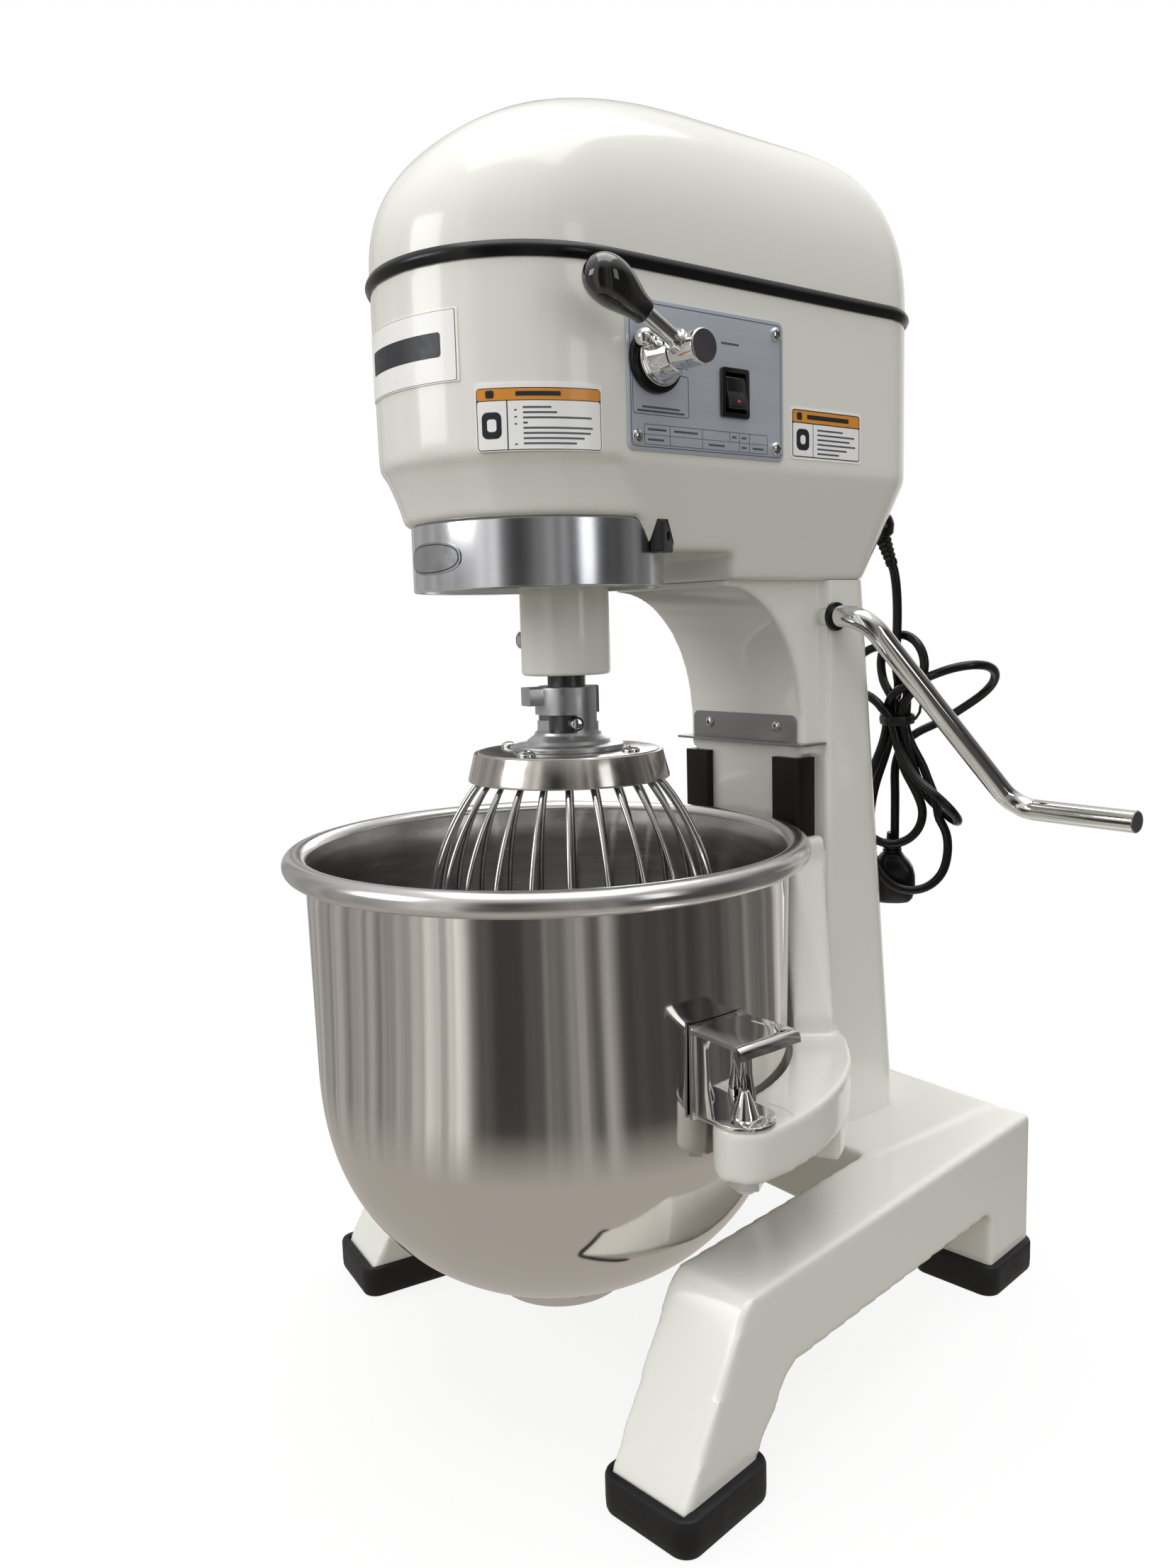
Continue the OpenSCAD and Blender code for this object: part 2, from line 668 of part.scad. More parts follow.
module whisk_hub() color("#BFC1C3") at_agitator(0) difference() {
  union() {
    translate([0, 0, cap_z[1]]) cylinder(r = 40, h = 4);
    translate([0, 0, cap_z[1] + 3]) cylinder(r1 = 31, r2 = 21, h = 8);
    translate([0, 0, cap_z[1] + 2]) cylinder(r = 23, h = 43.2);
    intersection() {
      translate([0, 0, 463]) cylinder(r = 33, h = 12);
      rotate([0, 0, pin_turn - 82]) translate([0, -8, 463]) cube([40, 16, 12]);
    }
  }
  translate([0, 0, cap_z[1] + 4]) cylinder(r = shaft_r + 0.3, h = 60);
  // Bayonet slots on both sides: a way in from above and a level run to the pin
  for (s = [0, 180]) rotate([0, 0, pin_turn + s]) {
    translate([0, 0, 449]) rotate([0, 90, 0]) cylinder(r = 5, h = 30);
    rotate([0, 0, -125]) rotate_extrude(angle = 125) translate([13, 444.4]) square([15, 9.2]);
    rotate([0, 0, -117]) translate([0, -6, 450]) cube([30, 12, 40]);
  }
}

module at_cap_screws() {
  at_agitator(cap_z[1]) for (a = [20:90:290]) rotate([0, 0, a]) translate([52, 0, 0]) children();
}

module whisk_cap() color(steel) difference() {
  at_agitator(0) rotate_extrude() polygon([
    [0, cap_z[1] - 5], [0, cap_z[1]], [cap_r[1], cap_z[1]], [cap_r[0], cap_z[0]],
    [cap_r[0] - 2.5, cap_z[0]], [cap_r[1] - 1, cap_z[1] - 6], [20, cap_z[1] - 5]]);
  at_cap_screws() cylinder(r = 3.05, h = 12, center = true);
}

module whisk_screws() color(chrome) at_cap_screws() dome_screw(5.5, 3, 4.5);

// One wire in the XZ plane: three arcs that run into each other, from the cap to the boss
bulge_z = 300;
upper_r = 168.5;
lower_r = 150;
lower_a = 55;
tip_r = 50;
boss_r = 18;
tip_centre = [whisk_r - lower_r + (lower_r - tip_r) * cos(lower_a),
              bulge_z - (lower_r - tip_r) * sin(lower_a)];
boss_z = tip_centre[1] - tip_r;
upper_a = asin((cap_z[0] + 9 - bulge_z) / upper_r);

tip_a = -acos((boss_r + 0.4 - tip_centre[0]) / tip_r);

// Part of a ring in the XZ plane about a centre, from one angle to another
module arc(centre, r, from, to, thick) {
  translate([centre[0], 0, centre[1]]) rotate([90, 0, 0]) rotate([0, 0, from])
    rotate_extrude(angle = to - from) translate([r, 0]) circle(r = thick, $fn = 16);
}

// The middle arc is a hair thinner and ends a little inside the other two
module half_wire() {
  arc([whisk_r - upper_r, bulge_z], upper_r, 0, upper_a, wire_d / 2);
  arc([whisk_r - lower_r, bulge_z], lower_r, -lower_a - 0.2, 0.2, wire_d / 2 - 0.05);
  arc(tip_centre, tip_r, tip_a, -lower_a, wire_d / 2);
}

module whisk_wires() color(chrome) at_agitator(0) {
  for (i = [0:wire_count - 1]) rotate([0, 0, (i + 0.5) * 360 / wire_count]) half_wire();
  translate([0, 0, boss_z - 3]) cylinder(r = boss_r, h = 9);
}

// ---------- bowl lift ----------

// Half ring behind the bowl, the same on both sides, from an angle at its right end
module arm_ring(z0, z1, from, inset) {
  translate([0, 0, z0]) rotate([0, 0, from]) rotate_extrude(angle = 180 - 2 * from)
    translate([arm_in + inset, 0]) square([arm_out - arm_in - 2 * inset, z1 - z0]);
}

boss_step = 0.5;      // how far the pin bosses stand proud of the arms
module yoke_casting() color(ivory) difference() {
  union() {
    // Saddle plate and its cheeks
    translate([-68, 173, saddle_z[0]])
      cube([136, rear_block_y - gap - 173, saddle_z[1] - saddle_z[0]]);
    arm_ring(arm_z[0] + boss_step, arm_z[1] - boss_step, atan2(pin_y, pin_x), 0);
    arm_ring(arm_z[0] - 22, arm_z[0] + 3, 28, 2);
    both_sides() {
      translate([pin_x, pin_y, arm_z[0]]) cylinder(r = 18, h = arm_z[1] - arm_z[0]);
      hull() {
        translate([55, 174, 285]) cube([12, 28, 55]);
        rotate([0, 0, 52]) translate([arm_in + 3, 0, arm_z[1] - 4]) cube([26, 16, 16]);
      }
    }
  }
  // Room for the column and its slide strips
  translate([-slide_w - gap, 183 - gap, 100]) cube([2 * (slide_w + gap), 80, 300]);
  translate([0, 0, 100]) cylinder(r = arm_in - 0.5, h = 300);
  both_sides() translate([pin_x, pin_y, 150]) cylinder(r = 6, h = 100);
}

module bowl_pins() color(chrome) both_sides() translate([pin_x, pin_y, 0]) {
  translate([0, 0, arm_z[0] - 9]) cylinder(r = 6, h = arm_z[1] - arm_z[0] + 9);
  translate([0, 0, arm_z[1]]) cylinder(r = pin_r, h = tab_t + 1);
  translate([0, 0, arm_z[1] + tab_t + 1]) cylinder(r1 = pin_r, r2 = 2.5, h = 15);
  difference() {
    translate([0, 0, arm_z[0] - 9]) cylinder(r = 11, h = 8.8, $fn = 6);
    translate([0, 0, arm_z[0] - 10]) cylinder(r = 6, h = 11);
  }
}

module lift_rack() color(dark_steel) {
  translate([-8, 183 - gap, 200]) cube([16, 248 - 183 + gap, 34]);
  translate([-8, rack_y + 2.5, 234]) cube([16, 248 - rack_y - 2.5, rack_teeth_z[1] - 234]);
  pitch = PI * gear_module;
  first = floor((rack_teeth_z[0] - shaft_z) / pitch);
  last = floor((rack_teeth_z[1] - shaft_z) / pitch) - 1;
  for (k = [first:last]) translate([0, 0, shaft_z + (k + 0.5) * pitch]) along_x(16)
    polygon([[rack_y + 2.6, -2.35], [rack_y - 2, -0.7], [rack_y - 2, 0.7], [rack_y + 2.6, 2.35]]);
}

// Straight run of the bar from a point, in the direction a, and a bend about a centre.
// A bend is a hair thinner than a run and reaches a little into it.
bend_r = crank_r - 0.15;
lap_a = 1.2;          // degrees
module run(from, a, length) {
  translate([from[0], from[1], 0]) rotate([0, 0, a]) rotate([0, 90, 0])
    cylinder(r = crank_r, h = length);
}
module bend(centre, from, to) {
  translate([centre[0], centre[1], 0]) rotate([0, 0, from - lap_a])
    rotate_extrude(angle = to - from + 2 * lap_a) translate([crank_bend_r, 0]) circle(r = bend_r);
}

module crank_bar() color(chrome) translate([0, shaft_y, shaft_z]) rotate([crank_tilt, 0, 0]) {
  arm = crank_corners[1] - crank_corners[0];
  a = atan2(arm[1], arm[0]);
  cut = crank_bend_r * tan(a / 2);
  out = [cos(a), sin(a)];
  x1 = crank_corners[0][0] - cut;
  x2 = crank_corners[1][0] + cut;
  run([crank_start, 0], 0, x1 - crank_start);
  bend([x1, crank_bend_r], -90, a - 90);
  run(crank_corners[0] + cut * out, a, norm(arm) - 2 * cut);
  bend([x2, crank_corners[1][1] - crank_bend_r], 90, 90 + a);
  run([x2, crank_corners[1][1]], 0, crank_end - x2);
}

module crank_pinion() color(steel)
  translate([-9, shaft_y, shaft_z]) rotate([90, 0, 90]) gear(pinion_teeth, 18, crank_r);

module crank_collar() color(rubber) for (x = [-74.5, column_w + 0.5])
  translate([x, shaft_y, shaft_z]) rotate([0, 90, 0]) tube(crank_r + 2.4, crank_r + fit, 4);

// ---------- bowl ----------

function bowl_radius(z) = z >= bowl_z + curve_h
  ? bowl_r + bowl_taper * (z - bowl_z - curve_h)
  : bowl_r * sqrt(1 - pow(1 - (z - bowl_z) / curve_h, 2.49));
bowl_steps = 18;
function bowl_heights() = concat(
  [for (k = [1:bowl_steps]) bowl_z + curve_h * (1 - cos(90 * k / bowl_steps))], [rim_z]);

module bowl_shell() color(steel) {
  h = bowl_heights();
  outside = [for (z = h) [bowl_radius(z), z]];
  inside = [for (i = [len(h) - 1:-1:0])
    [bowl_radius(h[i]) - bowl_wall, max(h[i], bowl_z + bowl_wall + 0.4 * i)]];
  rotate_extrude(convexity = 6, $fn = 128)
    polygon(concat([[0, bowl_z]], outside, inside, [[0, bowl_z + bowl_wall]]));
  rotate_extrude($fn = 128) translate([rim_r - rim_tube, rim_z]) circle(r = rim_tube, $fn = 32);
}

module bowl_foot() color(steel) difference() {
  translate([0, 0, foot_z]) cylinder(r = foot_r, h = 12);
  translate([0, 0, foot_z - 1]) cylinder(r = foot_r - 2, h = 20);
  rotate_extrude() polygon(concat([[0, bowl_z - 0.05], [0, 90]],
    [for (k = [6:-1:1]) let (z = bowl_z + curve_h * (1 - cos(5 * k))) [bowl_radius(z) + 0.1, z]]));
}

module bowl_brackets() color(chrome) both_sides() rotate([0, 0, atan2(pin_y, pin_x)]) {
  r0 = 162.8;
  z0 = arm_z[1] + gap;
  c = norm([pin_x, pin_y]);
  // Plate against the bowl
  rotate([0, 0, -8]) translate([0, 0, z0]) rotate_extrude(angle = 16)
    translate([r0, 0]) square([2.5, 58]);
  // Lower tab over the pin
  difference() {
    union() {
      translate([c, 0, z0]) cylinder(r = 19, h = tab_t);
      translate([r0 + 2, -19, z0]) cube([c - r0 - 2, 38, tab_t]);
    }
    translate([c, 0, z0 - 1]) cylinder(r = pin_r + fit, h = tab_t + 2);
  }
  // Finger grip at the top with its turned down edge
  translate([r0 + 2, -23, z0 + 55]) cube([40, 46, 3]);
  translate([r0 + 39, -23, z0 + 50]) cube([3, 46, 5]);
  // Webs between grip and tab
  for (y = [-19, 16.5]) translate([r0 + 2, y, z0 + tab_t]) cube([11, 2.5, 52]);
}

// ---------- power cord ----------

module along_gland(d) {
  translate(gland_at) rotate([0, gland_tilt, gland_turn]) translate([0, 0, d]) children();
}

gland_r = 11;
module cord_gland() color(rubber) {
  along_gland(1.2) cylinder(r = gland_r, h = 4.3, $fn = 6);
  along_gland(5.4) cylinder(r1 = 9.5, r2 = 7.5, h = 9);
  along_gland(14.3) cylinder(r1 = 6, r2 = 4.2, h = 24);
}

module power_cord() color(rubber) swept_tube(cord_route, cord_d / 2, 10);

// Across the hank, up along it, and out of it towards the front
module in_hank_plane() {
  translate(hank_at) rotate([0, 0, hank_turn]) rotate([hank_lean, 0, 0]) children();
}

// Outline round several loops, each given as [middle, radius]
module around(loops) {
  hull() for (a = loops) translate(a[0]) circle(r = a[1], $fn = 32);
}

module cord_hank() color(rubber) in_hank_plane() difference() {
  union() {
    translate([0, 0, -14]) linear_extrude(25)
      around([[[-6, -73], 24], [[19, -58], 25], [[8, -106], 32], [[0, -20], 10]]);
    translate([0, 0, -15.5]) linear_extrude(21) {
      around([[[-14, 36], 24], [[-4, 42], 24], [[0, 18], 10]]);
      around([[[49, 19], 25], [[8, 16], 9]]);
    }
    translate([-12, -24, -hank_t / 2]) cube([24, 40, hank_t]);
  }
  // Room for the plug behind the lower loops
  translate([-26, -160, -20]) cube([50, 61, 21]);
}

tie_w = 7;
module cord_tie() color("#2B2B2D") in_hank_plane() rotate([90, 0, 0])
  linear_extrude(tie_w, center = true) difference() {
    square([30, hank_t + 5], center = true);
    square([24.6, hank_t + 0.6], center = true);
  }

// The plug hangs behind the lower loops with its pins to the rear
plug_at = [-2, -118, -12];
module power_plug() color(rubber) in_hank_plane() translate(plug_at) {
  translate([0, 0, -12]) linear_extrude(24)
    around([[[-11, -10], 8], [[11, -10], 8], [[-9, -30], 8], [[9, -30], 8]]);
  rotate([-90, 0, 0]) translate([0, 0, -4]) cylinder(r1 = 9, r2 = 6, h = 16);
  for (x = [-7, 7]) translate([x, -20, -29]) cylinder(r = 2.2, h = 17.5);
}

base_casting();
foot_front_right();
foot_front_left();
foot_rear_right();
foot_rear_left();
column_bolts();
column_casting();
rear_cover();
splash_shelf();
slide_strips();
head_casting();
seam_gasket();
top_cover();
control_panel();
dome_screws();
labels();
switch_housing();
switch_rocker();
lever_flange();
lever_hub();
lever_rod();
lever_knob();
gearbox_lid();
motor_stator();
motor_shaft();
cooling_fan();
lay_shaft();
lay_gears();
main_shaft();
main_gear();
shaft_bearings();
ring_band();
ring_gear();
ring_badge();
ring_block();
planet_carrier();
agitator_bearings();
grease_plug();
agitator_shaft();
planet_gear();
drive_pin();
whisk_hub();
whisk_cap();
whisk_screws();
whisk_wires();
yoke_casting();
bowl_pins();
lift_rack();
crank_bar();
crank_pinion();
crank_collar();
bowl_shell();
bowl_foot();
bowl_brackets();
cord_gland();
power_cord();
cord_hank();
cord_tie();
power_plug();
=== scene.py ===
import json
import math

import bmesh
import bpy
import numpy as np
from mathutils import Matrix, Vector

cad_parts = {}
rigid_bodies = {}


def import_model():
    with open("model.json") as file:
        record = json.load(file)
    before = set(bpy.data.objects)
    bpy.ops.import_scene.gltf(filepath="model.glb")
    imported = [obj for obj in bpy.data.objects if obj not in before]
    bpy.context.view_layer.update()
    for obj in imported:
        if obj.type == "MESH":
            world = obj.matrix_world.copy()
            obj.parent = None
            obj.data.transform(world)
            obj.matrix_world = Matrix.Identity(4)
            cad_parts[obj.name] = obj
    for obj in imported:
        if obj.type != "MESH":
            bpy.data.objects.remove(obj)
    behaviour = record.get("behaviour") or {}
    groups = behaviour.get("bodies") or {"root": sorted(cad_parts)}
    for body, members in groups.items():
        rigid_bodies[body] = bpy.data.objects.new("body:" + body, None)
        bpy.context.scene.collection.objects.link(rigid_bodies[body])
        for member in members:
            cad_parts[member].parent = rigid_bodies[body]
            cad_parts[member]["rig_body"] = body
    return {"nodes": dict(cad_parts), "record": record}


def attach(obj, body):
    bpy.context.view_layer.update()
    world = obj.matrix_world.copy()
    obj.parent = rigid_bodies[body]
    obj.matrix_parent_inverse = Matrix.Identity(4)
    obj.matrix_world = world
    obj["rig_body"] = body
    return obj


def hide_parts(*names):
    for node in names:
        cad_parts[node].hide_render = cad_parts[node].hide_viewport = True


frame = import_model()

for _name in ("Cube", "Light", "Camera"):
    if _name in bpy.data.objects:
        bpy.data.objects.remove(bpy.data.objects[_name])

# Planetary stand mixer. Shapes are given in millimetres in the CAD's frame and stored in metres.
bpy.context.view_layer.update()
scene = bpy.context.scene
MM = 0.001
TAU = 2 * math.pi
FLIP = Matrix.Scale(-1, 4, (1, 0, 0))
NODES = frame["nodes"]
SLOTS = {s["node"]: s["material_slot"] for s in frame["record"]["subparts"]}

# ---------------------------------------------------------------- camera

EYE = Vector((670.22, -476.11, 518.50))
AHEAD = Vector((-0.78768, 0.60202, -0.13087))
RIGHT = Vector((0.60989, 0.79202, -0.02739))
UP = Vector((-0.08716, 0.10139, 0.99102))
FOCAL_PX, FRAME_PX = 1715.0, 2212.0

camera = bpy.data.objects.new("camera", bpy.data.cameras.new("camera"))
scene.collection.objects.link(camera)
camera.matrix_world = Matrix.Translation(EYE * MM) @ Matrix((RIGHT, UP, -AHEAD)).transposed().to_4x4()
camera.data.sensor_fit = "VERTICAL"
camera.data.sensor_height = 36
camera.data.lens = 36 * FOCAL_PX / FRAME_PX
camera.data.clip_start = 0.02
scene.camera = camera
scene.view_settings.view_transform = "Standard"

# ---------------------------------------------------------------- mesh helpers


def settle(ob, angle=38):
    """Outward normals and smooth shading with sharp edges above an angle."""
    bm = bmesh.new()
    bm.from_mesh(ob.data)
    bmesh.ops.remove_doubles(bm, verts=bm.verts, dist=1e-6)
    bmesh.ops.dissolve_degenerate(bm, edges=bm.edges, dist=1e-7)
    bmesh.ops.recalc_face_normals(bm, faces=bm.faces)
    bm.to_mesh(ob.data)
    bm.free()
    ob.data.shade_smooth()
    if angle:
        ob.data.set_sharp_from_angle(angle=math.radians(angle))
    return ob


def placed(name, data):
    ob = bpy.data.objects.new(name, data)
    scene.collection.objects.link(ob)
    return ob


def from_bmesh(name, bm):
    mesh = bpy.data.meshes.new(name)
    bm.to_mesh(mesh)
    bm.free()
    return placed(name, mesh)


def solid(name, verts, faces, angle=38):
    mesh = bpy.data.meshes.new(name)
    mesh.from_pydata([tuple(float(c) * MM for c in v) for v in verts], [], faces)
    return settle(placed(name, mesh), angle)


def loft(name, rings, closed=False, angle=38):
    """Skin over rings of equally many points; closed joins the last ring to the first."""
    n, m = len(rings[0]), len(rings)
    verts = [p for ring in rings for p in ring]
    faces = []
    for i in range(m if closed else m - 1):
        a, b = i * n, ((i + 1) % m) * n
        faces += [(a + k, a + (k + 1) % n, b + (k + 1) % n, b + k) for k in range(n)]
    if not closed:
        faces += [tuple(range(n))[::-1], tuple((m - 1) * n + k for k in range(n))]
    return solid(name, verts, faces, angle)


def bulge(value, power):
    """Keeps the sign and raises the size, for squared or pinched rounds."""
    return math.copysign(abs(value) ** power, value)


def circle(r, n, z=0.0, at=(0.0, 0.0)):
    return [(at[0] + r * math.cos(TAU * k / n), at[1] + r * math.sin(TAU * k / n), z) for k in range(n)]


def lathe(name, profile, n=128, at=(0.0, 0.0), closed=True, angle=38):
    """Turns a closed outline of (radius, height) about a vertical axis."""
    return loft(name, [circle(r, n, z, at) for r, z in profile], closed=closed, angle=angle)


def cylinder(name, r, z0, z1, n, at=(0.0, 0.0)):
    return lathe(name, [(0, z0), (r, z0), (r, z1), (0, z1)], n, at)


def fillet(points, radii, steps=6):
    """Rounds the corners of a closed outline; radii is one number or one for each corner."""
    count = len(points)
    radii = radii if isinstance(radii, (list, tuple)) else [radii] * count
    out = []
    for i, (p, r) in enumerate(zip(points, radii)):
        p = np.array(p, float)
        if r <= 0:
            out.append(tuple(p))
            continue
        a = np.array(points[i - 1], float) - p
        b = np.array(points[(i + 1) % count], float) - p
        la, lb = np.linalg.norm(a), np.linalg.norm(b)
        a, b = a / la, b / lb
        half = math.acos(np.clip(np.dot(a, b), -1, 1)) / 2
        if half > math.pi / 2 - 0.01:
            out.append(tuple(p))
            continue
        reach = min(r / math.tan(half), 0.49 * la, 0.49 * lb)
        r = reach * math.tan(half)
        middle = p + (a + b) / np.linalg.norm(a + b) * r / math.sin(half)
        s, e = p + a * reach - middle, p + b * reach - middle
        swing = math.acos(np.clip(np.dot(s, e) / (r * r), -1, 1))
        for k in range(steps + 1):
            t = k / steps
            w = (math.sin((1 - t) * swing) * s + math.sin(t * swing) * e) / math.sin(swing)
            out.append(tuple(middle + w))
    return out


def turned(name, outline, radii, n, steps, at=(0.0, 0.0)):
    """Turns an outline with rounded corners about a vertical axis."""
    return lathe(name, fillet(outline, radii, steps), n, at)


def prism(name, outline, z0, z1, edge=0.0, angle=38):
    """Pulls an outline up; edge rounds its top and bottom rims."""
    ob = loft(name, [[(x, y, z) for x, y in outline] for z in (z0, z1)], angle=angle)
    return rounded(ob, edge) if edge else ob


def box_of(name, lo, hi, edge=0.0):
    x0, y0, z0 = lo
    x1, y1, z1 = hi
    return prism(name, [(x0, y0), (x1, y0), (x1, y1), (x0, y1)], z0, z1, edge)


def hull(name, points, angle=38):
    bm = bmesh.new()
    for p in points:
        bm.verts.new([float(c) * MM for c in p])
    made = bmesh.ops.convex_hull(bm, input=bm.verts)
    bmesh.ops.delete(bm, geom=[v for v in made["geom_interior"] if isinstance(v, bmesh.types.BMVert)],
                     context="VERTS")
    return settle(from_bmesh(name, bm), angle)


def moved(ob, matrix):
    ob.data.transform(matrix)
    if matrix.determinant() < 0:
        ob.data.flip_normals()
    return ob


def shift(x, y, z):
    return Matrix.Translation((x * MM, y * MM, z * MM))


def turn(degrees, axis):
    return Matrix.Rotation(math.radians(degrees), 4, axis)


def settled(ob):
    """Applies the modifiers."""
    bpy.context.view_layer.update()
    mesh = bpy.data.meshes.new_from_object(ob.evaluated_get(bpy.context.evaluated_depsgraph_get()))
    ob.modifiers.clear()
    ob.data = mesh
    return ob


def rounded(ob, width, segments=3, angle=40):
    m = ob.modifiers.new("edge", "BEVEL")
    m.width, m.segments, m.limit_method, m.angle_limit = width * MM, segments, "ANGLE", math.radians(angle)
    m.harden_normals = False
    return settle(settled(ob), 50)


def combine(ob, tools, operation):
    for tool in tools if isinstance(tools, (list, tuple)) else [tools]:
        m = ob.modifiers.new("cut", "BOOLEAN")
        m.object, m.operation, m.solver = tool, operation, "MANIFOLD"
        settled(ob)
        bpy.data.objects.remove(tool)
    return ob


def cut(ob, *tools, angle=38):
    return settle(combine(ob, list(tools), "DIFFERENCE"), angle)


def arc(r, a0, a1, n, at=(0.0, 0.0)):
    """Points on an arc between two angles in degrees."""
    angles = [math.radians(a0 + (a1 - a0) * k / n) for k in range(n + 1)]
    return [(at[0] + r * math.cos(a), at[1] + r * math.sin(a)) for a in angles]


def ring_sector(name, r0, r1, z0, z1, a0, a1, n=90):
    return prism(name, arc(r1, a0, a1, n) + arc(r0, a0, a1, n)[::-1], z0, z1)


def fuse(ob, *tools, angle=38):
    return settle(combine(ob, list(tools), "UNION"), angle)


def joined(name, *parts):
    """Parts that don't overlap, as one object that keeps each part's materials."""
    bm = bmesh.new()
    slots = []
    for part in parts:
        before = len(bm.faces)
        bm.from_mesh(part.data)
        bm.faces.ensure_lookup_table()
        local = {i: m for i, m in enumerate(part.data.materials)}
        for f in bm.faces[before:]:
            m = local.get(f.material_index)
            if m is not None and m not in slots:
                slots.append(m)
            f.material_index = slots.index(m) if m is not None else 0
    for part in parts:
        bpy.data.objects.remove(part)
    ob = from_bmesh(name, bm)
    for m in slots:
        ob.data.materials.append(m)
    return ob


def cast(name, parts, voxel=2.4, passes=8):
    """One soft-edged casting from overlapping raw shapes."""
    ob = parts[0]
    combine(ob, parts[1:], "UNION")
    ob.name = name
    m = ob.modifiers.new("skin", "REMESH")
    m.mode, m.voxel_size = "VOXEL", voxel * MM
    m = ob.modifiers.new("soft", "SMOOTH")
    m.factor, m.iterations = 0.5, passes
    return settle(settled(ob), 0)


def swept(name, points, radius, n=16, angle=60):
    """Tube along points, with no twist; radius is one number or one for each point."""
    p = np.array(points, float)
    count = len(p)
    radius = np.broadcast_to(radius, count)
    t = np.gradient(p, axis=0)
    t /= np.linalg.norm(t, axis=1)[:, None]
    u = np.cross(t[0], [0.3, 0.2, 1.0])
    rings = []
    for i in range(count):
        u = u - t[i] * np.dot(u, t[i])
        u /= np.linalg.norm(u)
        v = np.cross(t[i], u)
        rings.append([tuple(p[i] + radius[i] * (math.cos(TAU * k / n) * u + math.sin(TAU * k / n) * v))
                      for k in range(n)])
    return loft(name, rings, angle=angle)


def smooth_path(points, step):
    """Evenly spaced points on a centripetal Catmull-Rom curve through points."""
    p = np.array(points, float)
    p = np.vstack([2 * p[0] - p[1], p, 2 * p[-1] - p[-2]])
    out = []
    for i in range(1, len(p) - 2):
        a, b, c, d = p[i - 1:i + 3]
        k = [0.0]
        for q, w in ((a, b), (b, c), (c, d)):
            k.append(k[-1] + max(np.linalg.norm(w - q), 1e-6) ** 0.5)
        for s in np.linspace(k[1], k[2], 24, endpoint=False):
            def mix(q, w, lo, hi):
                return q * (hi - s) / (hi - lo) + w * (s - lo) / (hi - lo)
            a1, a2, a3 = mix(a, b, k[0], k[1]), mix(b, c, k[1], k[2]), mix(c, d, k[2], k[3])
            out.append(mix(mix(a1, a2, k[0], k[2]), mix(a2, a3, k[1], k[3]), k[1], k[2]))
    out.append(p[-2])
    return even(np.array(out), step)


def even(p, step):
    s = np.concatenate([[0], np.cumsum(np.linalg.norm(np.diff(p, axis=0), axis=1))])
    n = max(2, int(round(s[-1] / step)) + 1)
    t = np.linspace(0, s[-1], n)
    return np.stack([np.interp(t, s, p[:, k]) for k in range(3)], 1)


# ---------------------------------------------------------------- materials


def srgb(r, g, b):
    def line(c):
        c /= 255
        return c / 12.92 if c <= 0.04045 else ((c + 0.055) / 1.055) ** 2.4
    return (line(r), line(g), line(b), 1.0)


def ramp_of(tree, source, stops, warm=0.07, ease="EASE"):
    """Colour ramp node fed by a value; stops are (place, grey), warmed a little."""
    node = tree.nodes.new("ShaderNodeValToRGB")
    node.color_ramp.interpolation = ease
    els = node.color_ramp.elements
    while len(els) < len(stops):
        els.new(0.5)
    for el, (place, _) in zip(els, stops):
        el.position = place
    for el, (place, v) in zip(els, stops):
        el.position = place
        el.color = (v, v * (1 - 0.45 * warm), v * (1 - warm), 1)
    tree.links.new(source, node.inputs["Fac"])
    return node.outputs["Color"]


def math_of(tree, operation, first, second=None):
    node = tree.nodes.new("ShaderNodeMath")
    node.operation = operation
    for k, value in enumerate((first, second)):
        if isinstance(value, (int, float)):
            node.inputs[k].default_value = value
        elif value is not None:
            tree.links.new(value, node.inputs[k])
    return node.outputs["Value"]


def range_of(tree, source, low, high, to_low=0.0, to_high=1.0):
    node = tree.nodes.new("ShaderNodeMapRange")
    for key, value in (("From Min", low), ("From Max", high), ("To Min", to_low), ("To Max", to_high)):
        node.inputs[key].default_value = value
    tree.links.new(source, node.inputs["Value"])
    return node.outputs["Result"]


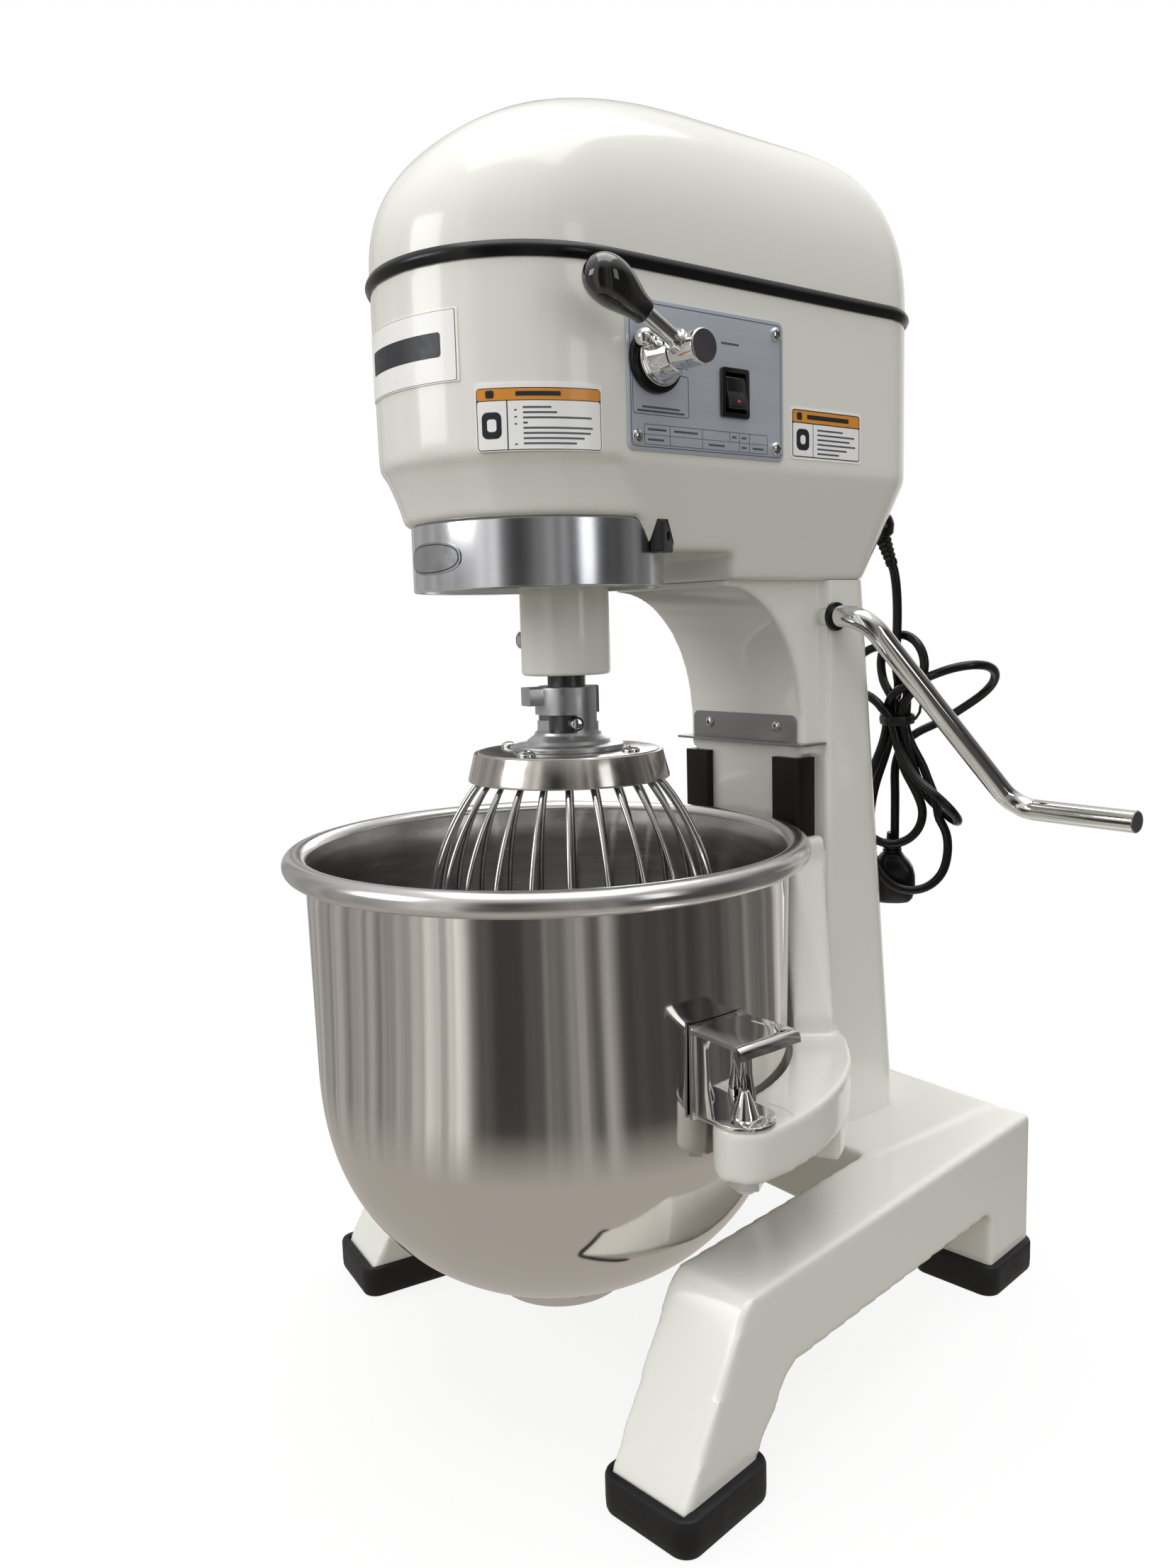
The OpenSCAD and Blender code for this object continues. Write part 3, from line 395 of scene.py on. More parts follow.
def finish(name, colour, rough, metal=0.0, coat=0.0, vary=0.05, rough_vary=0.05, scale=25.0,
           stretch=(1, 1, 1), bump=0.0, bump_scale=600.0, bump_stretch=None, specular=0.5, wear=None):
    """Procedural finish: drifting colour, cloudy roughness, a fine relief, and paler worn edges."""
    mat = bpy.data.materials.new(name)
    mat.use_nodes = True
    nodes, links = mat.node_tree.nodes, mat.node_tree.links
    shader = nodes["Principled BSDF"]
    shader.inputs["Metallic"].default_value = metal
    shader.inputs["Coat Weight"].default_value = coat
    shader.inputs["Coat Roughness"].default_value = 0.06
    shader.inputs["Specular IOR Level"].default_value = specular
    where = nodes.new("ShaderNodeTexCoord")

    def noise(size, stretched, detail=4.0):
        mapping = nodes.new("ShaderNodeMapping")
        mapping.inputs["Scale"].default_value = stretched
        links.new(where.outputs["Object"], mapping.inputs["Vector"])
        tex = nodes.new("ShaderNodeTexNoise")
        tex.inputs["Scale"].default_value = size
        tex.inputs["Detail"].default_value = detail
        tex.inputs["Roughness"].default_value = 0.55
        links.new(mapping.outputs["Vector"], tex.inputs["Vector"])
        return tex.outputs["Fac"]

    ramp = nodes.new("ShaderNodeValToRGB")
    ramp.color_ramp.elements[0].position = 0.3
    ramp.color_ramp.elements[1].position = 0.7
    ramp.color_ramp.elements[0].color = [c * (1 - vary) for c in colour[:3]] + [1]
    ramp.color_ramp.elements[1].color = [min(1, c * (1 + vary)) for c in colour[:3]] + [1]
    links.new(noise(scale, stretch), ramp.inputs["Fac"])
    tint = ramp.outputs["Color"]
    if wear:
        edge = nodes.new("ShaderNodeNewGeometry")
        mix = nodes.new("ShaderNodeMix")
        mix.data_type = "RGBA"
        links.new(range_of(mat.node_tree, edge.outputs["Pointiness"], 0.52, 0.6), mix.inputs["Factor"])
        links.new(tint, mix.inputs["A"])
        mix.inputs["B"].default_value = wear
        tint = mix.outputs["Result"]
    links.new(tint, shader.inputs["Base Color"])
    cloudy = range_of(mat.node_tree, noise(scale * 2.3, stretch), 0.3, 0.7,
                      max(0.01, rough - rough_vary), rough + rough_vary)
    links.new(cloudy, shader.inputs["Roughness"])
    if bump:
        relief = nodes.new("ShaderNodeBump")
        relief.inputs["Strength"].default_value = 1.0
        relief.inputs["Distance"].default_value = bump * MM
        links.new(noise(bump_scale, bump_stretch or stretch, 2.0), relief.inputs["Height"])
        links.new(relief.outputs["Normal"], shader.inputs["Normal"])
    return mat


WHITE = finish("white_paint", srgb(237, 237, 231), 0.2, coat=0.5, vary=0.008, rough_vary=0.012,
               scale=4, bump=0.004, bump_scale=90)
RUBBER = finish("black_rubber", (0.009, 0.009, 0.010, 1), 0.5, vary=0.3, scale=40, bump=0.02,
                bump_scale=900, specular=0.25, wear=(0.03, 0.03, 0.032, 1))
GASKET = finish("gasket_rubber", (0.006, 0.006, 0.007, 1), 0.24, vary=0.2, scale=40, bump=0.003,
                bump_scale=500, specular=0.35)
PVC = finish("cord_pvc", (0.005, 0.005, 0.006, 1), 0.22, vary=0.2, rough_vary=0.05, scale=60, bump=0.002,
             bump_scale=300, specular=0.4)
STRIP = finish("slide_plastic", (0.008, 0.0075, 0.006, 1), 0.36, vary=0.25, rough_vary=0.08, scale=18,
               stretch=(1, 1, 0.15), bump=0.008, bump_scale=400, specular=0.22)
BLACK = finish("black_plastic", (0.008, 0.008, 0.008, 1), 0.13, coat=0.8, vary=0.25, scale=30,
               bump=0.004, bump_scale=500)
CHROME = finish("chrome", (0.80, 0.80, 0.79, 1), 0.05, metal=1, vary=0.03, rough_vary=0.025,
                scale=30, bump=0.003, bump_scale=300)
BOWL_OUT = finish("bowl_mirror", (0.68, 0.655, 0.63, 1), 0.085, metal=1, vary=0.02, rough_vary=0.02,
                  scale=14, stretch=(1, 1, 0.3), bump=0.004, bump_scale=160, bump_stretch=(1, 1, 0.1))
BOWL_IN = finish("bowl_brushed", (0.66, 0.655, 0.65, 1), 0.24, metal=1, vary=0.04, rough_vary=0.04,
                 scale=9, stretch=(1, 1, 9), bump=0.0015, bump_scale=60, bump_stretch=(0.3, 0.3, 14))
RING = finish("turned_aluminium", (0.76, 0.78, 0.83, 1), 0.20, metal=1, vary=0.01, rough_vary=0.01,
              scale=20, stretch=(1, 1, 5), bump=0.0001, bump_scale=120, bump_stretch=(0.3, 0.3, 10))
CASTMETAL = finish("cast_aluminium", (0.56, 0.57, 0.59, 1), 0.36, metal=1, vary=0.08,
                   rough_vary=0.08, scale=45, bump=0.05, bump_scale=500)
CAP = finish("cap_steel", (0.63, 0.60, 0.57, 1), 0.16, metal=1, vary=0.05, rough_vary=0.05,
             scale=30, bump=0.006, bump_scale=250, bump_stretch=(0.3, 0.3, 6))
WIRE = finish("wire_steel", (0.60, 0.595, 0.585, 1), 0.12, metal=1, vary=0.04, rough_vary=0.04,
              scale=30, stretch=(1, 1, 0.2))
PANEL = finish("panel_metal", srgb(212, 219, 232), 0.34, metal=0.5, vary=0.04, rough_vary=0.04,
               scale=30, stretch=(1, 0.2, 4), bump=0.008, bump_scale=500, bump_stretch=(1, 0.05, 8))
PRINT = finish("print_grey", srgb(86, 92, 102), 0.4, vary=0.06, scale=60)
PAPER = finish("label_film", srgb(252, 252, 252), 0.3, coat=0.3, vary=0.02, scale=30)
ORANGE = finish("label_orange", srgb(226, 150, 50), 0.3, coat=0.3, vary=0.04, scale=30)
INK = finish("label_ink", srgb(40, 44, 50), 0.4, vary=0.1, scale=90)
SHELF = finish("shelf_metal", srgb(150, 148, 150), 0.34, metal=0.7, vary=0.05, rough_vary=0.06,
               scale=30, stretch=(0.2, 1, 4), bump=0.008, bump_scale=400, bump_stretch=(0.1, 1, 6))
DARK = finish("dark_steel", (0.10, 0.10, 0.105, 1), 0.34, metal=0.9, vary=0.2, rough_vary=0.1,
              scale=40, bump=0.02, bump_scale=400, bump_stretch=(1, 1, 4))
GEAR = finish("gear_steel", (0.42, 0.42, 0.43, 1), 0.3, metal=1, vary=0.12, rough_vary=0.1, scale=50,
              bump=0.02, bump_scale=300)
MOTOR = finish("motor_paint", srgb(58, 66, 74), 0.42, vary=0.1, scale=40, bump=0.04, bump_scale=300)
BLOCK = finish("block_plastic", (0.02, 0.021, 0.023, 1), 0.38, vary=0.2, scale=60, bump=0.02)
BADGE = finish("badge_metal", srgb(176, 178, 182), 0.28, metal=0.9, vary=0.05, scale=60,
               bump=0.006, bump_stretch=(1, 1, 8))
LAMP = finish("lamp_red", srgb(214, 44, 22), 0.2, coat=0.8, vary=0.15, scale=400)
HUBFACE = finish("hub_face", srgb(96, 92, 100), 0.36, metal=0.6, vary=0.08, scale=60)
COLLAR = finish("collar_black", (0.010, 0.010, 0.010, 1), 0.3, vary=0.2, scale=60, bump=0.01)

SLOT_LOOK = {
    "white_paint": WHITE, "black_rubber": RUBBER, "cord_pvc": PVC, "slide_plastic": STRIP,
    "switch_plastic": BLACK, "knob_plastic": BLACK, "dark_steel": DARK, "gear_steel": GEAR,
    "motor_paint": MOTOR, "shelf_metal": SHELF, "panel_metal": PANEL, "chrome": CHROME,
    "label_film": PAPER, "badge_metal": BADGE, "polished_aluminium": RING,
    "cast_aluminium": CASTMETAL, "wire_steel": WIRE, "bowl_steel": BOWL_OUT,
}


def dress(ob, mat):
    ob.data.materials.clear()
    ob.data.materials.append(mat)
    return ob


def fit(ob, *names, mat=None):
    """The piece stands for these CAD nodes, rides on their body and takes their slot."""
    node = names[0]
    if mat is not None:
        dress(ob, mat)
    elif not ob.data.materials:
        dress(ob, SLOT_LOOK[SLOTS[node]])
    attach(ob, NODES[node]["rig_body"])
    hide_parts(*names)
    return ob


def extra(ob, node, mat=None):
    """Trim that rides with a node and replaces nothing."""
    if mat is not None:
        dress(ob, mat)
    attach(ob, NODES[node]["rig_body"])
    return ob


# ---------------------------------------------------------------- cord

CORD_D = 7.0
HANK_AT = np.array([58.0, 300.0, 437.5])
HANK_TURN, HANK_LEAN = math.radians(40), math.radians(96.5)
GLAND_AT = np.array([60.5, 271.5, 592.0])
GLAND_TILT, GLAND_TURN = math.radians(158), math.radians(72)
GLAND_AXIS = np.array([math.sin(GLAND_TILT) * math.cos(GLAND_TURN),
                       math.sin(GLAND_TILT) * math.sin(GLAND_TURN), math.cos(GLAND_TILT)])
FEED = [(65.7, 288.3, 545), (65.4, 290.6, 531), (64.3, 292.5, 515), (62.6, 294, 498), (61, 295.4, 481),
        (59.6, 297, 464)]
RELIEF_END = 38.3


def hank_point(h, v, t):
    """Across the hank, up along it and out of it, to the shared frame."""
    y = v * math.cos(HANK_LEAN) - t * math.sin(HANK_LEAN)
    z = v * math.sin(HANK_LEAN) + t * math.cos(HANK_LEAN)
    c, s = math.cos(HANK_TURN), math.sin(HANK_TURN)
    return HANK_AT + np.array([h * c - y * s, h * s + y * c, z])


def to_hank(p):
    c, s = math.cos(HANK_TURN), math.sin(HANK_TURN)
    q = np.array(p, float) - HANK_AT
    h, y = q[0] * c + q[1] * s, -q[0] * s + q[1] * c
    lean_c, lean_s = math.cos(HANK_LEAN), math.sin(HANK_LEAN)
    return np.array([h, y * lean_c + q[2] * lean_s, -y * lean_s + q[2] * lean_c])


# Loops of the hank as (across, up, out), tie at (0, 0, 0); six strands lie round a seventh there
R6 = CORD_D + 0.15
SLOT6 = [(R6 * math.cos(a), R6 * math.sin(a)) for a in [TAU * k / 6 for k in range(6)]]


def at_tie(k, v):
    h, t = (0.0, 0.0) if k is None else SLOT6[k]
    return (h, v, t)


LOOPS = ([at_tie(4, 7), at_tie(4, -7), (-6, -24, -9), (-17, -62, -8), (-20, -92, -3), (-16, -118, 3),
          (-2, -135, 7), (13, -141, 8), (29, -135, 6), (40, -114, 3), (39, -88, 1), (29, -60, 0),
          (14, -27, -1), at_tie(0, -7), at_tie(0, 7)] + [(8, 22, -2), (8, 35, -5), (2, 47, -12),
                                                         (-9, 53, -23), (-22, 51, -32), (-33, 41, -34),
                                                         (-36, 29, -27), (-29, 21, -14), (-18, 18, -3),
                                                         (-8, 14, 3), at_tie(2, 5), at_tie(2, -8)] +
         [(3, -26, 13), (13, -42, 21), (26, -53, 29), (39, -64, 33), (47, -74, 27), (46, -82, 13),
          (36, -80, -1), (23, -62, -4), (11, -32, 3), at_tie(1, -7), at_tie(1, 7)] + [(10, 20, 9),
                                                                                      (17, 34, 12),
                                                                                      (22, 48, 12),
                                                                                      (15, 60, 7),
                                                                                      (3, 64, -6),
                                                                                      (-7, 58, -19),
                                                                                      (-11, 45, -23),
                                                                                      (-9, 31, -16),
                                                                                      (-4, 18, -5),
                                                                                      at_tie(None, 6),
                                                                                      at_tie(None, -7)] +
         [(3, -26, 2), (11, -48, 3), (19, -70, 3), (17, -91, 3), (4, -103, 2.5), (-12, -102, 2),
          (-25, -87, 1.5), (-26, -62, 1), (-14, -30, 3), at_tie(3, -7), at_tie(3, 5)] + [(-3, 18, 5),
                                                                                         (7, 28, 14),
                                                                                         (21, 35, 19),
                                                                                         (38, 42, 21),
                                                                                         (56, 44, 17),
                                                                                         (69, 40, 4),
                                                                                         (75, 30, -10),
                                                                                         (68, 16, -22),
                                                                                         (51, 2, -27),
                                                                                         (33, -9, -25),
                                                                                         (15, -17, -21),
                                                                                         (4, -29, -18),
                                                                                         (0, -43, -16),
                                                                                         (0, -62, -13),
                                                                                         (0, -84, -12),
                                                                                         (0, -104, -12)] )
LEAST_BEND = 3.9 * CORD_D
KEPT_APART = CORD_D + 0.25


def relax(p, rounds=520):
    """Keeps the turns a diameter apart and the bends soft, with both ends and the tie held."""
    p = p.copy()
    rest = np.linalg.norm(np.diff(p, axis=0), axis=1)
    goal = p.copy()
    n = len(p)
    i, j = np.triu_indices(n, 7)
    near_tie = (np.abs(p[:, 1]) < 1.7) & (np.hypot(p[:, 0], p[:, 2]) < 12)
    held = np.where(near_tie, 0.0, 1.0)
    held[:5] = 0
    held[-8:] = 0
    span = 3
    for _ in range(rounds):
        bend = np.zeros_like(p)
        bend[2:-2] = (-p[:-4] + 4 * p[1:-3] - 6 * p[2:-2] + 4 * p[3:-1] - p[4:]) / 16
        p += held[:, None] * (0.9 * bend + 0.006 * (goal - p))
        mid = (p[:-2 * span] + p[2 * span:]) / 2 - p[span:-span]
        chord = np.linalg.norm(p[2 * span:] - p[:-2 * span], axis=1)
        sag = np.linalg.norm(mid, axis=1)
        allowed = chord ** 2 / (8 * LEAST_BEND)
        over = np.clip((sag - allowed) / np.maximum(sag, 1e-6), 0, 1)[:, None] * mid * 0.34
        p[span:-span] += over * held[span:-span, None]
        p[:-2 * span] -= over * 0.5 * held[:-2 * span, None]
        p[2 * span:] -= over * 0.5 * held[2 * span:, None]
        apart = p[j] - p[i]
        far = np.linalg.norm(apart, axis=1)
        hit = far < KEPT_APART
        if hit.any():
            a, b = i[hit], j[hit]
            push = apart[hit] / np.maximum(far[hit], 1e-6)[:, None] * \
                (KEPT_APART - far[hit])[:, None] * 0.35
            np.add.at(p, a, -push * held[a][:, None])
            np.add.at(p, b, push * held[b][:, None])
        for _ in range(3):
            d = np.diff(p, axis=0)
            far = np.linalg.norm(d, axis=1)
            fix = d * ((far - rest) / far * 0.35)[:, None]
            p[:-1] += fix * held[:-1, None]
            p[1:] -= fix * held[1:, None]
    return p


start = to_hank(GLAND_AT + GLAND_AXIS * (RELIEF_END - 3))
feed = [start, to_hank(GLAND_AT + GLAND_AXIS * (RELIEF_END + 3))]
feed += [to_hank(p) for p in FEED] + [(-2.6, 19, -6.6)]
route = relax(smooth_path(feed + LOOPS, 3.4))
cord_points = np.array([hank_point(*p) for p in route])

curve = bpy.data.curves.new("power_lead", "CURVE")
curve.dimensions = "3D"
curve.bevel_depth = CORD_D / 2 * MM
curve.bevel_resolution = 5
curve.use_fill_caps = True
line = curve.splines.new("POLY")
line.points.add(len(cord_points) - 1)
for knot, p in zip(line.points, cord_points):
    knot.co = (*(p * MM), 1)
line.use_smooth = True
curve.materials.append(PVC)
cord = placed("power_lead", curve)
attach(cord, "frame")
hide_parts("power_cord", "cord_hank")


def along(matrix_at, axis):
    """Matrix that takes +Z to an axis through a point."""
    z = Vector(axis).normalized()
    return Matrix.Translation(Vector(matrix_at) * MM) @ z.to_track_quat("Z", "Y").to_matrix().to_4x4()


# Tapered strain relief with ribs, and the gland that it comes out of
relief = lathe("strain_relief", [(0, 11), (6.4, 11), (6.9, 12.5), (6.5, 14.3)]
               + [(r - (0.9 if k % 2 else 0), 14.3 + 2.0 * k + 0.9) for k, r in
                  enumerate(np.linspace(6.3, 4.6, 11))] + [(4.3, RELIEF_END), (0, RELIEF_END)], 40)
moved(relief, along(GLAND_AT, GLAND_AXIS))
extra(relief, "cord_gland", PVC)

gland_profile = [(0, 0.4), (9.6, 0.4), (11.2, 3), (11.3, 9), (8.6, 15.4), (6.4, 16.6), (0, 16.8)]
gland = turned("cable_gland", gland_profile, [0, 0.6, 3, 5, 3, 1, 0], 64, 6)
moved(gland, along(GLAND_AT, GLAND_AXIS))
fit(gland, "cord_gland", mat=PVC)


def hank_matrix():
    base = hank_point(0, 0, 0)
    cols = [hank_point(*e) - base for e in ((1, 0, 0), (0, 1, 0), (0, 0, 1))]
    m = Matrix([[cols[c][r] for c in range(3)] for r in range(3)]).to_4x4()
    return Matrix.Translation(Vector(base) * MM) @ m


def plug_ring(v, wide, thick, n=40, power=3.2):
    ring = []
    for k in range(n):
        a = TAU * k / n
        c, s = math.cos(a), math.sin(a)
        ring.append((-2 + wide / 2 * bulge(c, 2 / power), v, -12 + thick / 2 * bulge(s, 2 / power)))
    return ring


PLUG_RINGS = [(-115, 17, 15), (-118, 21, 18), (-122, 28, 22), (-127, 34, 24), (-133, 37, 24.5),
              (-140, 37.5, 24.5), (-147, 36, 24), (-152, 33.5, 22.5), (-155, 29, 19), (-156.4, 20, 13)]
plug = loft("plug_body", [plug_ring(*r) for r in PLUG_RINGS], angle=60)
neck = [(0, 0)]
for k in range(6):
    r = 8.3 - 0.35 * k
    neck += [(r, 2.7 * k), (r, 2.7 * k + 1.5), (r - 2.0, 2.7 * k + 1.7), (r - 2.0, 2.7 * k + 2.6)]
neck += [(4.6, 17), (4.3, 21), (0, 21)]
boot = moved(lathe("boot", neck, 36), shift(-2, -118, -12) @ turn(-90, "X"))
fuse(plug, boot, angle=45)
pins = []
for x in (-7, 7):
    pin = turned("pin", [(0, 0), (2.2, 0), (2.2, 17), (0, 17)], [0, 0, 1.2, 0], 24, 4)
    pins.append(moved(pin, shift(-2 + x, -138, -12 - 10.5) @ turn(180, "X")))
plug_pins = joined("plug_pins", *pins)
moved(plug_pins, hank_matrix())
moved(plug, hank_matrix())
fit(plug, "power_plug", mat=PVC)
extra(plug_pins, "power_plug", CHROME)

band = []
for k in range(48):
    a = TAU * k / 48
    r = 11.9 + 1.3 * max(0.0, math.cos(3 * a)) ** 2 - 0.6
    band.append((r, a))
rings = []
for o, v in ((0, -3.2), (1.3, -3.6), (1.9, 0), (1.3, 3.6), (0, 3.2)):
    rings.append([((r + o) * math.cos(a), v, (r + o) * math.sin(a)) for r, a in band])
tie = loft("twist_tie", rings, closed=True, angle=50)
tail = swept("tail", [(10, 0, 9), (14, 2, 12), (17, 7, 12.5), (18, 13, 11)], 1.1, 10)
fuse(tie, tail)
moved(tie, hank_matrix())
fit(tie, "cord_tie", mat=COLLAR)

# ---------------------------------------------------------------- head

FRONT_Y, REAR_Y, HEAD_W, REAR_C = -9.4, 294.0, 94.0, 50.0
HEAD_Z, SEAM_Z, GASKET_H = 617.0, 726.0, 9.0
COVER_Z = SEAM_Z + GASKET_H
RING_R, RING_TOP, RING_BOTTOM = 83.0, 583.0, 541.0
COLUMN_W, COLUMN_TOP = 70.0, 545.0
LEVER_Y, LEVER_Z, SWITCH_Y, SWITCH_Z = 22.3, 674.7, 88.7, 661.0


def head_plan(inset=0.0, draft=0.0):
    """Outline of the head from above; draft draws only its front in."""
    w, c = HEAD_W - inset, REAR_C - inset
    out = []
    for k in range(121):
        a = math.radians(180 + 1.5 * k)
        r = w - draft * max(0.0, -math.sin(a)) ** 0.8
        out.append((r * math.cos(a), FRONT_Y + r * math.sin(a)))
    for k in range(1, 12):
        out.append((w, FRONT_Y + (REAR_Y - REAR_C - FRONT_Y) * k / 12))
    for k in range(25):
        a = math.radians(3.75 * k)
        out.append((HEAD_W - REAR_C + c * math.cos(a), REAR_Y - REAR_C + c * math.sin(a)))
    for k in range(25):
        a = math.radians(90 + 3.75 * k)
        out.append((REAR_C - HEAD_W + c * math.cos(a), REAR_Y - REAR_C + c * math.sin(a)))
    for k in range(11, 0, -1):
        out.append((-w, FRONT_Y + (REAR_Y - REAR_C - FRONT_Y) * k / 12))
    return out


def ring_of(outline, z):
    return [(x, y, z) for x, y in outline]


def on_x(x, y, z):
    """Takes a shape made about +Z to one that points along +X."""
    return shift(x, y, z) @ turn(90, "Y")


def head_parts():
    walls = loft("walls", [ring_of(head_plan(0, (1 - k / 6) ** 1.5), HEAD_Z + (SEAM_Z + 3 - HEAD_Z) * k /
                                   6) for k in range(7)])
    flare = []
    for s, z in ((0, 618), (0.03, 617), (0.3, 609), (0.56, 601), (0.78, 594), (0.92, 589), (1, 585.5),
                 (1, 583)):
        r = 91.4 - 4.2 * s - 0.5 * math.sin(math.pi * s)
        flare.append(circle(r, 180, z, (0, FRONT_Y * (1 - s))))
    flare = loft("flare", flare[::-1])
    belly = hull("belly", [(x, y, z) for x in (-HEAD_W, HEAD_W) for y in (0, FRONT_Y + 140)
                           for z in (HEAD_Z - 1, HEAD_Z)]
                 + [(x, y, 563) for x in (-76, 76) for y in (30, 122)])
    rear = [p for p in head_plan() if p[1] > 90]
    neck = hull("neck", [(x, y, z) for x, y in rear for z in (HEAD_Z - 1, HEAD_Z)]
                + [(x, y, COLUMN_TOP) for x in (-COLUMN_W, COLUMN_W) for y in (110, 230)]
                + [(s * 45 + 25 * math.cos(a), 234 + 25 * math.sin(a), COLUMN_TOP)
                   for s in (-1, 1) for a in [math.pi * k / 20 for k in range(21)]])
    return [walls, flare, belly, neck]


head = cast("head_shell", head_parts(), 2.6, 9)
cavity = loft("cavity", [ring_of(head_plan(i), z) for i, z in ((20, 594), (18, 614), (8, 622), (8, 740))])
lid_cut = box_of("lid_cut", (-120, -130, SEAM_Z), (120, 320, 745))
bore = cylinder("bore", RING_R + 0.3, 500, RING_TOP, 180)
shaft_bore = cylinder("shaft_bore", 26, 570, 600, 96)
stair = box_of("stair", (-47, 170, 540), (47, 250, 600))
switch_hole = box_of("switch_hole", (80, SWITCH_Y - 11, SWITCH_Z - 14), (100, SWITCH_Y + 11, SWITCH_Z + 14))
lever_hole = moved(cylinder("lever_hole", 11, 0, 20, 64), on_x(80, LEVER_Y, LEVER_Z))
recess = moved(box_of("recess", (-2, -0.3, -0.3), (9.4, 18.3, 20.3)),
               turn(28, "Z") @ shift(RING_R + 0.3, -9, RING_BOTTOM + 21))
well = moved(cylinder("well", 11.7, 0, 40, 64), along(GLAND_AT, GLAND_AXIS))
cut(head, lid_cut, cavity, bore, shaft_bore, stair, switch_hole, lever_hole, recess, well, angle=45)
fit(head, "head_casting", mat=WHITE)

# Rubber bead in the seam
bead = [(-0.9 - 2.1 * math.sin(math.pi * k / 10), SEAM_Z + GASKET_H * k / 10) for k in range(11)]
bead = [(8, SEAM_Z)] + bead + [(8, COVER_Z)]
gasket = loft("seam_bead", [ring_of(head_plan(i), z) for i, z in bead], closed=True, angle=50)
fit(gasket, "seam_gasket", mat=GASKET)

CROWN_H, CROWN_Y, REAR_ROUND, SECTION = 118.9, 98.0, 96.7, 2.47
FRONT_POWER, REAR_POWER = 2.2, 2.67


def cover_rib(y, off, steps=72):
    w, c, e = HEAD_W - off, REAR_C - off, REAR_Y - off
    rise = 1.0
    if y < CROWN_Y:
        run = (CROWN_Y - y) / (CROWN_Y - FRONT_Y + HEAD_W - off)
        rise = max(0.0, 1 - run ** FRONT_POWER) ** (1 / FRONT_POWER)
    if y > e - REAR_ROUND:
        rise *= max(0.0, 1 - ((y - e + REAR_ROUND) / REAR_ROUND) ** REAR_POWER) ** (1 / REAR_POWER)
    high = (CROWN_H - off) * rise
    half = w
    if y < FRONT_Y:
        half = math.sqrt(max(0, w * w - (y - FRONT_Y) ** 2))
    elif y > e - c:
        half = w - c + math.sqrt(max(0, c * c - (y - e + c) ** 2))
    out = []
    for k in range(steps + 1):
        a = math.pi * k / steps
        co, si = math.cos(a), math.sin(a)
        out.append((half * bulge(co, 2 / SECTION), y,
                    COVER_Z + high * abs(si) ** (2 / SECTION)))
    return out


def dome(name, off):
    a, b = FRONT_Y - HEAD_W + off, REAR_Y - off
    ys = [a + (CROWN_Y - a) * (1 - math.cos(math.radians(90 * (k / 44) ** 1.15))) for k in range(1, 45)]
    ys += [CROWN_Y + (b - REAR_ROUND - CROWN_Y) * k / 10 for k in range(1, 10)]
    ys += [b - REAR_ROUND * (1 - math.sin(math.radians(89.6 * k / 40))) for k in range(41)]
    return loft(name, [cover_rib(y, off) for y in ys], angle=50)


cover = dome("cover_shell", 0)
inner = moved(dome("inner", 5), shift(0, 0, -0.2))
cut(cover, inner, angle=50)
fit(cover, "top_cover", mat=WHITE)

# ---------------------------------------------------------------- control panel

PANEL_Y, PANEL_Z, PANEL_T = (0.8, 133.8), (621.0, 709.7), 1.5
FACE = HEAD_W + PANEL_T
LEVER_RISE = 28.3
SHELF_SCREWS_X, SHELF_FACE_Y, SHELF_SCREW_Z = (-36, 36), 187.6, 438.5


def plate_yz(name, y0, y1, z0, z1, x, t, corner=0.0, edge=0.0):
    """Sheet that faces +X, with its back at x."""
    flat = fillet([(-z1, y0), (-z0, y0), (-z0, y1), (-z1, y1)], corner)
    ob = prism(name, flat, 0, t, edge)
    return moved(ob, shift(x, 0, 0) @ turn(90, "Y"))


def frame_yz(name, y0, y1, z0, z1, w, corner):
    """Thin printed frame on the panel."""
    ob = plate_yz(name, y0, y1, z0, z1, FACE - 0.3, 0.36, corner)
    hole = plate_yz("hole", y0 + w, y1 - w, z0 + w, z1 - w, FACE - 1, 2, max(corner - w, 0.2))
    return cut(ob, hole)


panel = plate_yz("panel_plate", *PANEL_Y, *PANEL_Z, HEAD_W, PANEL_T, 4.5, 0.35)
cut(panel, box_of("a", (90, SWITCH_Y - 11, SWITCH_Z - 14), (99, SWITCH_Y + 11, SWITCH_Z + 14)),
    moved(cylinder("b", 11, 0, 9, 64), on_x(90, LEVER_Y, LEVER_Z)))
fit(panel, "control_panel", mat=PANEL)
prints = [frame_yz("border", 3.0, 131.6, 623.2, 707.5, 0.55, 3.2),
          frame_yz("field", 4.6, 49.8, 642.3, 667.4, 0.5, 2.0),
          frame_yz("table", 13.2, 118.7, 624.8, 637.0, 0.4, 0.4),
          plate_yz("row", 13.4, 118.5, 630.6, 630.95, FACE - 0.3, 0.36)]
for y, z0, z1 in ((33.6, 625, 636.8), (60.7, 625, 636.8), (84.4, 630.8, 636.8), (92.9, 625, 636.8),
                  (101.9, 625, 636.8)):
    prints.append(plate_yz("cell", y, y + 0.4, z0, z1, FACE - 0.3, 0.37))
for y0, y1, z in ((16, 31, 633.2), (16, 29, 627.2), (37, 57, 633.2), (66, 80, 627.2), (86.5, 90.5, 633.2),
                  (95, 99.5, 633.2), (105, 115, 627.2), (95, 99.5, 627.2), (12, 42, 646.2), (8, 46, 643.9),
                  (78, 93.5, 690.4)):
    prints.append(plate_yz("bar", y0, y1, z, z + 1.3, FACE - 0.3, 0.37, 0.3))
marks = joined("panel_print", *prints)
extra(marks, "control_panel", PRINT)


